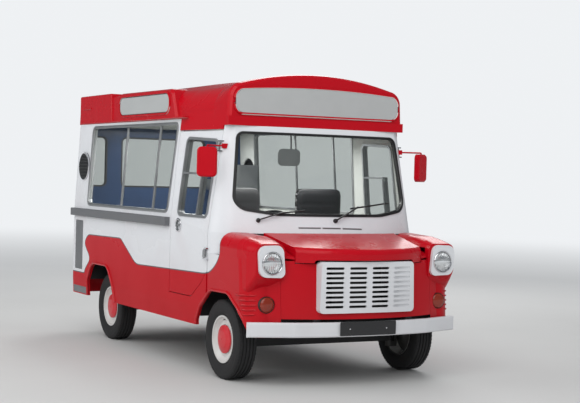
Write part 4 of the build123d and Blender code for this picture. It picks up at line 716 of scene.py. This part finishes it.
slot_rows = (
    ((-0.344, 1.241), (-0.15, 1.241)), ((-0.135, 1.241), (0.035, 1.239)), ((0.055, 1.238), (0.252, 1.233)),
)
# Each slot is a grey plate of painted shadow in place of the opening, with a raised white lip.
slot_layers = (("slot", 0.0055, 0.005, 0, 0.0008, slot_shadow_grey),
               ("lip", 0.004, 0.0035, lip_rise, 0.006, white_paint))
for k, (start, end) in enumerate(slot_rows):
    for label, half_v, corner, rise, depth, material in slot_layers:
        plate(f"cowl_{label}_{k + 1}", slot_half, half_v, corner,
              lambda u, v, w: on_run(start, end, (u / slot_half + 1) / 2, w, rise + v), depth, material,
              columns=8)

mirror_layers = (("back", 0.105, 0.072, 0.04, 0, 0.012, mirror_shell, 0.003),
                 ("face", 0.1, 0.067, 0.036, 0.0125, 0.002, mirror_silver, 0))
for label, half_u, half_v, corner, lift, depth, material, bevel in mirror_layers:
    plate(f"inside_mirror_{label}", half_u, half_v, corner,
          lambda u, v, w: (ahead(-0.135) - lift - w, -0.272 + u, 1.822 + v), depth, material,
          columns=6, bevel=bevel)
stem_path = [(ahead(-0.14), -0.255, 1.885), (ahead(-0.16), -0.245, 1.95), (ahead(-0.185), -0.235, 2.025)]
tube("inside_mirror_stem", stem_path, 0.006, black_plastic)

turn = math.radians(30)
for side, sign in both_sides:
    onward = Vector((math.cos(turn), sign * math.sin(turn), 0))
    across = Vector((-math.sin(turn), sign * math.cos(turn), 0))
    centre = Vector((ahead(-0.11), sign * 1.046, 1.765)) - onward * 0.0242
    plate(f"mirror_glass_{side}", 0.074, 0.114, 0.03,
          lambda u, v, w: centre + across * u + Vector((0, 0, v)) - onward * w, 0.002, mirror_silver,
          columns=6)
print("screen fittings made")

# %% [markdown]
# ## Repeated pieces
# Tread lugs and studs are the same shape many times over. A small node group places copies of
# one unit: each copy is moved by a step and turned about a pivot on the Y axis. An array would
# need a helper object for every turn. The group ends by making its copies real, because the
# export leaves instances out.


# %% Repeat group
def repeat_group():
    """The node group that makes the copies, and its inputs by name."""
    group = bpy.data.node_groups.new("repeat_unit", "GeometryNodeTree")
    kinds = {"Unit": "Object", "Count": "Int", "Start": "Vector", "Step": "Vector", "Turn": "Float",
             "Pivot": "Vector", "Finish": "Material"}
    inputs = {
        label: group.interface.new_socket(label, in_out="INPUT", socket_type=f"NodeSocket{kind}").identifier
        for label, kind in kinds.items()
    }
    group.interface.new_socket("Geometry", in_out="OUTPUT", socket_type="NodeSocketGeometry")

    def add(kind, values, operation=None):
        made = group.nodes.new(kind)
        if operation:
            made.operation = operation
        for key, value in values.items():
            if isinstance(value, bpy.types.NodeSocket):
                group.links.new(value, made.inputs[key])
            else:
                made.inputs[key].default_value = value
        return made.outputs

    given = add("NodeGroupInput", {})
    index = add("GeometryNodeInputIndex", {})[0]
    points = add("GeometryNodePoints", {"Count": given["Count"]})[0]
    angle = add("ShaderNodeMath", {0: index, 1: given["Turn"]}, "MULTIPLY")[0]
    around = {"Vector": given["Start"], "Center": given["Pivot"], "Axis": (0, 1, 0), "Angle": angle}
    start = add("ShaderNodeVectorRotate", around)[0]
    shift = add("ShaderNodeVectorMath", {0: given["Step"], "Scale": index}, "SCALE")[0]
    place = add("ShaderNodeVectorMath", {0: start, 1: shift}, "ADD")[0]
    moved = add("GeometryNodeSetPosition", {"Geometry": points, "Position": place})[0]
    unit = add("GeometryNodeObjectInfo", {"Object": given["Unit"]})["Geometry"]
    turn = add("ShaderNodeCombineXYZ", {"Y": angle})[0]
    copies = add("GeometryNodeInstanceOnPoints", {"Points": moved, "Instance": unit, "Rotation": turn})[0]
    real = add("GeometryNodeRealizeInstances", {"Geometry": copies})[0]
    finished = add("GeometryNodeSetMaterial", {"Geometry": real, "Material": given["Finish"]})[0]
    add("NodeGroupOutput", {0: finished})
    return group, inputs


repeat_tree, repeat_inputs = repeat_group()


def unit_block(size):
    """A small block with soft edges, centred on the origin, for the group to copy."""
    work = bmesh.new()
    bmesh.ops.create_cube(work, size=1.0)
    bmesh.ops.scale(work, vec=size, verts=work.verts)
    bmesh.ops.bevel(work, geom=work.edges[:], offset=0.0012, segments=1, affect="EDGES")
    return mesh_of("unit_block", work, smooth=False)


def repeat(name, unit_mesh, body="body", **values):
    """Copies of a unit as one piece. The values go to the group's inputs."""
    unit = put(f"{name}_unit", unit_mesh)
    piece = put(name, bpy.data.meshes.new(name))
    modifier = piece.modifiers.new("repeat", "NODES")
    modifier.node_group = repeat_tree
    for label, value in {"Unit": unit, **values}.items():
        modifier[repeat_inputs[label]] = value
    bpy.context.view_layer.update()
    graph = bpy.context.evaluated_depsgraph_get()
    mesh = bpy.data.meshes.new_from_object(piece.evaluated_get(graph))
    piece.modifiers.clear()
    piece.data = mesh
    bpy.data.objects.remove(unit)
    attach(piece, body)
    return piece


# %% [markdown]
# ## Tyres and wheels
# A tyre is turned from one profile, with four grooves round its tread. The lugs of both shoulders
# could be cut out, but it is lighter to add them with the repeat group. The rims keep their
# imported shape, with a bright ring and a valve added. Their paint follows the distance from the
# middle of the wheel.

# %% Tyres
axle_rows = [
    # end, axle x, half track, rim's face outside the tyre's middle
    ("front", front_axle_x, 0.845, 0.0445),
    ("rear", rear_axle_x, 0.792, 0.0395),
]
wheel_rows = [(f"{end}_{side}", axle_x, track, face_out, sign)
              for end, axle_x, track, face_out in axle_rows for side, sign in both_sides]
tyre_reach, groove_depth, lug_count, lug_y = 0.3235, 0.008, 68, 0.0665
# Across place and radius, from the inner bead over the tread to the outer bead, and back.
tyre_side = [
    (0.07, 0.1945), (0.076, 0.2), (0.0745, 0.2075), (0.083, 0.222), (0.0895, 0.243), (0.0912, 0.262),
    (0.09, 0.279), (0.0868, 0.292), (0.0872, 0.2945), (0.0838, 0.305), (0.0765, 0.3165), (0.069, 0.3208),
]
tread = [(middle + y, tyre_reach - depth) for middle in (0.045, 0.015, -0.015, -0.045)
         for y, depth in ((0.006, 0), (0.0042, groove_depth), (-0.0042, groove_depth), (-0.006, 0))]
tyre_profile = tyre_side + tread + [(-y, r) for y, r in reversed(tyre_side)]

lug = unit_block((0.016, 0.017, 0.0045))
valve_profile = [(0, 0.004), (0.014, 0.004), (0.015, 0.003), (0.024, 0.003), (0.025, 0)]


def dish_paint(name, axle_x):
    """Rim paint: off-white, with a red centre cap and brake dust in the dish. Painted shade darkens the outer
    dish a little and the inner side nearly to black.
    """
    paint = Finish(name)
    reach = ((paint.x - axle_x) * (paint.x - axle_x) + (paint.z - axle_z) * (paint.z - axle_z)).math("SQRT")
    dust = paint.noise(14.0, 4.0)
    # Brake dust darkens the rim at random, and beyond 0.165 m from the middle a little painted shade darkens
    # the dish.
    rim = paint.mix(dust * 0.35 + (reach - 0.165).step(0.03) * 0.1, (0.68, 0.68, 0.66), (0.34, 0.32, 0.29))
    hub_red = paint.mix(dust * 0.1, (0.6, 0.006, 0.018), (0.3, 0.1, 0.08))
    colour = paint.mix((0.1165 - reach).step(0.001), rim, hub_red)
    _, facing_y, _ = paint.split(paint.facing)
    # Painted shade: faces that look inboard are nearly black, for the shadowed inner side of the wheel.
    inboard_shade = (-(paint.y.math("SIGN") * facing_y) - 0.2).step(0.1)
    colour = paint.mix(inboard_shade, colour, (0.035, 0.033, 0.03))
    return paint.painted(colour, roughness=0.28 + dust * 0.25, coat_weight=0.3,
                         normal=paint.bump(paint.noise(150.0, 2.0), 0.0004, 0.3))


dish_paints = dish_paint("front_rim_paint", front_axle_x), dish_paint("rear_rim_paint", rear_axle_x)
for corner, axle_x, track, face_out, sign in wheel_rows:
    body, node = f"wheel_{corner}", f"tyre_{corner}"
    tyre = turned(f"{node}_carcass", tyre_profile, (axle_x, sign * track, axle_z), outward, tyre_rubber, body,
                  steps=96, closed=True)
    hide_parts(node)
    for label, y in (("outer", sign * (track + lug_y)), ("inner", sign * (track - lug_y))):
        start = (axle_x, y, axle_z + tyre_reach - 0.0025)
        repeat(f"{node}_{label}_lugs", lug, body, Count=lug_count, Start=start, Turn=2 * math.pi / lug_count,
               Pivot=(axle_x, 0, axle_z), Finish=tyre_rubber)
    dress(nodes[node], tyre_rubber)
    dress(nodes[body], dish_paints["rear" in corner])
    face_y = sign * (track + face_out)
    turned(f"{body}_cap_rim", [(0, 0.1175), (0.004, 0.1195), (0.0045, 0.117), (0.002, 0.115)],
           (axle_x, face_y + sign * 0.001, axle_z), (0, sign, 0), chrome, body, closed=True)
    turned(f"{body}_valve", valve_profile, (axle_x, face_y, axle_z + 0.16), (0, sign, 0), rubber, body,
           steps=12)
print("tyres dressed:", len(wheel_rows))

# %% [markdown]
# ## Door handles
# Each door handle is a bar across a round cup let into the door. The cup is white inside and has
# a bright ring round its mouth. Both are turned, and they ride on their door and swing with it.

# %% Door handles
handle_x, handle_z = ahead(-0.807), 1.218
cup_ring = [(-0.0035, 0.044), (0.002, 0.0445), (0.0035, 0.047), (0.0035, 0.055), (0.001, 0.0595),
            (-0.0035, 0.06)]
cup_floor = [(0, 0.0438), (0.0006, 0.0436), (0.0008, 0.042), (0.0008, 0)]
turned_sides("door_cup_ring", cup_ring, (handle_x, 0.984, handle_z), outward, chrome, "door_{}", closed=True)
turned_sides("door_cup_floor", cup_floor, (handle_x, 0.966, handle_z), outward, white_paint, "door_{}")
print("door handles dressed")

# %% [markdown]
# ## Side trim
# A raised lip runs round each wheel arch. The rear end carries two bare metal strips, and the
# wing has five short pressed louvres behind the indicator. Lips and louvres are tubes half sunk
# in the panel, which look like pressed metal. Their paths come from the body's own curves.


# %% Side trim
def rounded_path(rows):
    """Path through corners of x, z and radius, each corner rounded by an arc."""
    path = []
    for i, (x, z, radius) in enumerate(rows):
        here = Vector((x, z))
        if radius == 0:
            path.append(here)
            continue
        back = (Vector(rows[i - 1][:2]) - here).normalized()
        on = (Vector(rows[i + 1][:2]) - here).normalized()
        half = back.angle(on) / 2
        reach = radius / math.tan(half)
        centre = here + (back + on).normalized() * (radius / math.sin(half))
        start, end = here + back * reach - centre, here + on * reach - centre
        path += [centre + Vector((start.x * cosine - start.y * sine, start.x * sine + start.y * cosine))
                 for cosine, sine in arc(-start.angle_signed(end), 8)]
    return path


def side_half(x, z):
    """Half width of the body's side at a place, x from the front axle. It leans in above and below."""
    if z < 0.56:
        return between(0.972, 0.98, (z - 0.4) / 0.16)
    return between(0.98, 0.933 - 0.036 * (x + 3.472) / 2.4935, max(z - 1.28, 0) / 0.86)


def wing_circle(z):
    """Where the wing's side begins to turn at a height, and the circle of its corner: centre and radius."""
    share = (z - 0.4) / 0.6
    x1, y1 = between(0.41, 0.36, share), between(0.968, 0.972, share)
    x2, y2 = between(0.528, 0.478, share), 0.905
    x3, y3 = between(0.562, 0.515, share), between(0.8, 0.795, share)
    d = 2 * (x1 * (y2 - y3) + x2 * (y3 - y1) + x3 * (y1 - y2))
    s1, s2, s3 = x1 * x1 + y1 * y1, x2 * x2 + y2 * y2, x3 * x3 + y3 * y3
    cx = (s1 * (y2 - y3) + s2 * (y3 - y1) + s3 * (y1 - y2)) / d
    cy = (s1 * (x3 - x2) + s2 * (x1 - x3) + s3 * (x2 - x1)) / d
    return x1, y1, cx, cy, math.hypot(x1 - cx, y1 - cy)


def wing_half(x, z):
    """Half width of the wing's skin at a place, x from the front axle."""
    side_x, side_y, cx, cy, radius = wing_circle(z)
    return side_y if x <= side_x else cy + math.sqrt(max(radius * radius - (x - cx) ** 2, 0))


def wing_point(along, z, out):
    """Place on the wing's skin, from a length measured forward of where its side begins to turn."""
    side_x, side_y, cx, cy, radius = wing_circle(z)
    if along <= 0:
        return side_x + along, side_y + out
    turn = math.atan2(side_y - cy, side_x - cx) - along / radius
    return cx + math.cos(turn) * (radius + out), cy + math.sin(turn) * (radius + out)


front_arch = [(-0.419, 0.402, 0), (-0.419, 0.44, 0.06), (-0.345, 0.56, 0.06), (-0.15, 0.712, 0.13),
              (0.18, 0.716, 0.15), (0.38, 0.6, 0.12), (0.5235, 0.402, 0)]
rear_arch = [(-3.068, 0.402, 0), (-3.068, 0.56, 0.06), (-2.942, 0.737, 0.15), (-2.502, 0.737, 0.15),
             (-2.362, 0.56, 0.09), (-2.3, 0.402, 0)]

for label, rows, half_of in (("rear", rear_arch, side_half), ("front", front_arch, wing_half)):
    for side, sign in both_sides:
        points = [(ahead(x), sign * (half_of(x, z) + 0.001), z + 0.006) for x, z in rounded_path(rows)]
        tube(f"{label}_arch_lip_{side}", points, 0.0125, lip_paint, steps=12)

strip_rows = [
    # name, middle x, middle z, half length, half height
    ("upright_strip", -3.331, 0.905, 0.105, 0.25),
    ("skirt_strip", -3.284, 0.446, 0.195, 0.034),
]
stud_margin, stud_count = 0.014, 4
stud = unit_block((0.007, 0.003, 0.007))
for label, x, z, half_u, half_v in strip_rows:
    for side, sign in both_sides:
        plate(f"{label}_{side}", half_u, half_v, 0.006,
              lambda u, v, w: (ahead(x) + u, sign * (side_half(x, z + v) + w), z + v), 0.0025, skirt_metal,
              columns=4)
        stud_x = half_u - stud_margin
        pitch = 2 * stud_x / (stud_count - 1)
        for row, stud_z in (("low", z - half_v + stud_margin), ("high", z + half_v - stud_margin)):
            start = (ahead(x) - stud_x, sign * (side_half(x, stud_z) + 0.003), stud_z)
            repeat(f"{label}_studs_{row}_{side}", stud, Count=stud_count, Start=start, Step=(pitch, 0, 0),
                   Finish=skirt_metal)

louvre_rows = [
    # start and end along the skin from where it turns, z
    (-0.075, 0.165, 0.722), (-0.04, 0.165, 0.684), (-0.01, 0.165, 0.646), (0.015, 0.16, 0.609),
    (0.04, 0.15, 0.573),
]
for k, (start, end, z) in enumerate(louvre_rows):
    for side, sign in both_sides:
        points = []
        for share in (step / 16 for step in range(17)):
            out = -0.006 + 0.0085 * math.sin(math.pi * share) ** 0.35
            x, y = wing_point(between(start, end, share), z, out)
            points.append((ahead(x), sign * y, z + 0.006 * share))
        tube(f"wing_louvre_{k + 1}_{side}", points, 0.0075, lip_paint)
print("side trim made")

# %% [markdown]
# ## Inside the cab
# Each seat is a metal box, a crowned cushion and a crowned back. A cushion is a fine box whose
# faces swell, whose sides pull in between the corners, and which carries sewn channels. Vertex
# moves stand in for a cloth simulation, because the seats are small in the view. The steering
# wheel is a closed tube with a turned hub and three dished spokes.


# %% Seats and steering wheel
def cushion(name, low, high, crown, up):
    """Crowned padded block between two corners. up is the axis of the face that one leans on."""
    low, high = Vector(low), Vector(high)
    middle, half = (low + high) / 2, (high - low) / 2
    other = [k for k in range(3) if k != up]
    work = bmesh.new()
    bmesh.ops.create_cube(work, size=2.0)
    bmesh.ops.subdivide_edges(work, edges=work.edges[:], cuts=26, use_grid_fill=True)
    for vert in work.verts:
        p = vert.co.copy()
        q = Vector([p[k] * math.sqrt(1 - 0.16 * p[(k + 1) % 3] ** 8 - 0.16 * p[(k + 2) % 3] ** 8)
                    for k in range(3)])
        flat = (1 - p[other[0]] ** 2) * (1 - p[other[1]] ** 2)
        for k, partner in (other, other[::-1]):
            q[k] *= 0.975 + 0.025 * abs(p[partner]) ** 3
        q = Vector([q[k] * half[k] for k in range(3)])
        swell = crown * flat ** 0.5 * (0.35 if p[up] < 0 else 1.0) - crown
        q[up] += math.copysign(1, p[up]) * swell
        seam = sum(math.exp(-((p[other[1]] - at) / 0.028) ** 2) for at in (-0.5, 0.0, 0.5))
        q[up] -= 0.007 * seam * max(p[up], 0) ** 6
        piping = math.exp(-((abs(p[up]) - 0.8) / 0.05) ** 2)
        for k in other:
            q[k] -= math.copysign(0.003 * piping, q[k]) * (abs(p[k]) > 0.99)
        vert.co = middle + q
    mesh = mesh_of(name, work)
    piece = put(name, mesh)
    mesh.materials.append(vinyl)
    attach(piece, "body")
    return piece


seat_half, box_half, box_foot, box_head = 0.235, 0.205, 0.6405, 0.929
for label, y in (("right", -0.42), ("left", 0.42)):
    near, far = y - box_half, y + box_half
    section = ((near, box_foot), (far, box_foot), (far, box_head), (near, box_head))
    box = [(ahead(x), across, z) for x in (-0.86, -0.47) for across, z in section]
    base = add_piece(f"seat_box_{label}", box, skin(2, 4), chassis_paint, bevel=0.008)
    pad = cushion(f"seat_cushion_{label}", (ahead(-0.898), y - seat_half, 0.931),
                  (ahead(-0.431), y + seat_half, 1.049), crown=0.022, up=2)
    back = cushion(f"seat_back_{label}", (ahead(-0.899), y - seat_half, 1.052),
                   (ahead(-0.781), y + seat_half, 1.559), crown=0.02, up=0)
    for piece in (base, pad, back):
        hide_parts("seats")

column = math.radians(38)
rim_radius, spoke_dish = 0.205, 0.01
wheel_axis = Vector((-math.sin(column), 0, math.cos(column)))
wheel_centre = Vector((ahead(-0.3), -0.4, 1.24))
_, wheel_u, wheel_v = frame_of(wheel_axis)
rim_path = [wheel_centre + (wheel_u * cosine + wheel_v * sine) * rim_radius
            for cosine, sine in arc(2 * math.pi, 72)[:-1]]
hub_profile = [(-0.042, 0.02), (-0.04, 0.03), (-0.012, 0.033), (-0.004, 0.03), (0.0, 0.018), (0.001, 0)]
wheel_pieces = [
    tube("steering_rim", rim_path, 0.0125, black_plastic, "steering_wheel", steps=12, closed=True),
    turned("steering_hub", hub_profile, wheel_centre - wheel_axis * 0.004, wheel_axis, black_plastic,
           "steering_wheel", steps=36),
]
for k, turn in enumerate((90, 210, 330)):
    out = wheel_u * math.cos(math.radians(turn)) + wheel_v * math.sin(math.radians(turn))
    path = [wheel_centre + out * r - wheel_axis * (spoke_dish * (1 - (r / 0.2) ** 2))
            for r in (0.02, 0.06, 0.1, 0.14, 0.18, 0.2)]
    wheel_pieces.append(tube(f"steering_spoke_{k + 1}", path, 0.008, black_plastic, "steering_wheel"))
for piece in wheel_pieces:
    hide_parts("steering_wheel")
print("seats and steering wheel made")

# %% [markdown]
# ## Vents
# Each side vent gets a bright ring and seven sloping slats. A slat is a plain bar of four corners,
# as long as the circle lets it be, because only its lit edge is seen.

# %% Vents
vent_radius = 0.136
vent_x, vent_z, vent_out = ahead(-3.272), 1.711, max(v.co.y for v in nodes["side_vents"].data.vertices)
slat_pitch, slat_section = 0.032, ((0.0, -0.009), (0.0, 0.009), (0.009, -0.004), (0.009, -0.007))
for side, sign in both_sides:
    verts, faces = [], []
    for z in (slat_pitch * k for k in range(-3, 4)):
        faces += skin(2, 4, start=len(verts))
        reach = math.sqrt((vent_radius - 0.016) ** 2 - z * z)
        verts += [(vent_x + x, sign * (vent_out - 0.001 + dy), vent_z + z + dz) for x in (-reach, reach)
                  for dy, dz in slat_section]
    add_piece(f"vent_slats_{side}", verts, faces, black_plastic)
vent_ring = [(-0.012, vent_radius + 0.003), (0.000, vent_radius + 0.007), (0.004, vent_radius + 0.004),
             (0.003, vent_radius - 0.004), (-0.006, vent_radius - 0.004)]
turned_sides("vent_ring", vent_ring, (vent_x, vent_out, vent_z), outward, chrome, steps=72, closed=True)
print("vents stand out to", round(vent_out, 4))

# %% [markdown]
# ## Closing plates
# The grille's fourth column is blank, so a thin bowed plate lies behind it. The wings' pods stand
# clear of the cab's corners. An upright plate closes the rear end of each, so that nobody looks
# into the engine bay from behind.


# %% Closing plates
def grille_back(u, v, w):
    y = 0.326 + u
    bow = 0.764 - 0.025 * (y / 0.45) ** 2
    return ahead(bow - 0.0155 - w), y, 0.7975 + v


plate("grille_backing", 0.09, 0.176, 0.008, grille_back, 0.0015, white_paint, columns=10)

closer_x, closer_depth, closer_corner = ahead(0.0148), 0.0025, 0.089
inside, outside, foot, top = 0.812, 0.951, 0.985, 1.175
rim = [(inside, foot), (outside, foot)]
rim += [(outside - closer_corner * (1 - cosine), top - closer_corner * (1 - sine))
        for cosine, sine in arc(math.pi / 2, 10)]
rim += [(inside, top)]
for side, sign in both_sides:
    verts = [(closer_x + w, sign * y, z) for w in (0, closer_depth) for y, z in rim]
    add_piece(f"wing_closer_{side}", verts, skin(2, len(rim)), red_paint, smooth=False)
print("closing plates made")

# %% [markdown]
# ## Serving window frames
# Each serving window has a bare metal frame with rounded corners that laps both faces of the
# wall. Two slim upright bars part its panes, and a flange on each holds the edges of the glass.
# A frame made flat would have to be bent to the wall's lean. So its four loops of points are laid
# on both faces of the wall first, and joined after that.

# %% Window frames
window_rear, window_front, window_foot, window_head = -3.118, -1.014, 1.312, 2.117
window_corner, front_pull, frame_width, frame_outer, frame_inner = 0.07, 0.036, 0.026, -0.008, 0.038
bar_plan = [(0.008, 0.001), (0.008, 0.0095), (0.0128, 0.0095), (0.0128, 0.0145), (0.008, 0.0145),
            (0.008, 0.021)]
bar_plan += [(-u, depth) for u, depth in reversed(bar_plan)]


def window_loop(margin):
    """Outline of the serving window drawn in by a margin, from the middle of its foot."""
    rear, front = window_rear + margin, window_front - margin
    foot, head, corner = window_foot + margin, window_head - margin, window_corner - margin
    middle = ((rear + front) / 2, foot, 0)
    rows = [(front - front_pull, foot, corner), (front, head, corner), (rear, head, corner),
            (rear, foot, corner)]
    return rounded_path([middle, *rows, middle])[:-1]


outer, inner = window_loop(0.0003), window_loop(frame_width)
frame_loops = ((outer, frame_outer), (inner, frame_outer), (inner, frame_inner), (outer, frame_inner))
bar_ends = window_foot + frame_width - 0.002, window_head - frame_width + 0.002
for side, sign in both_sides:
    def in_wall(x, z, depth):
        return ahead(x), sign * (side_half(x, z) - depth), z
    verts = [in_wall(x, z, depth) for path, depth in frame_loops for x, z in path]
    faces = skin(4, len(outer), closed=True)
    for bar_x in (window_rear + 0.913, window_front - 0.411):
        faces += skin(2, len(bar_plan), start=len(verts))
        verts += [in_wall(bar_x + u, z, depth) for z in bar_ends for u, depth in bar_plan]
    frame_piece = add_piece(f"serving_frame_{side}", verts, faces, aluminium, bevel=0.0015)
    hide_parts("serving_window_frames")
print("window frames made")
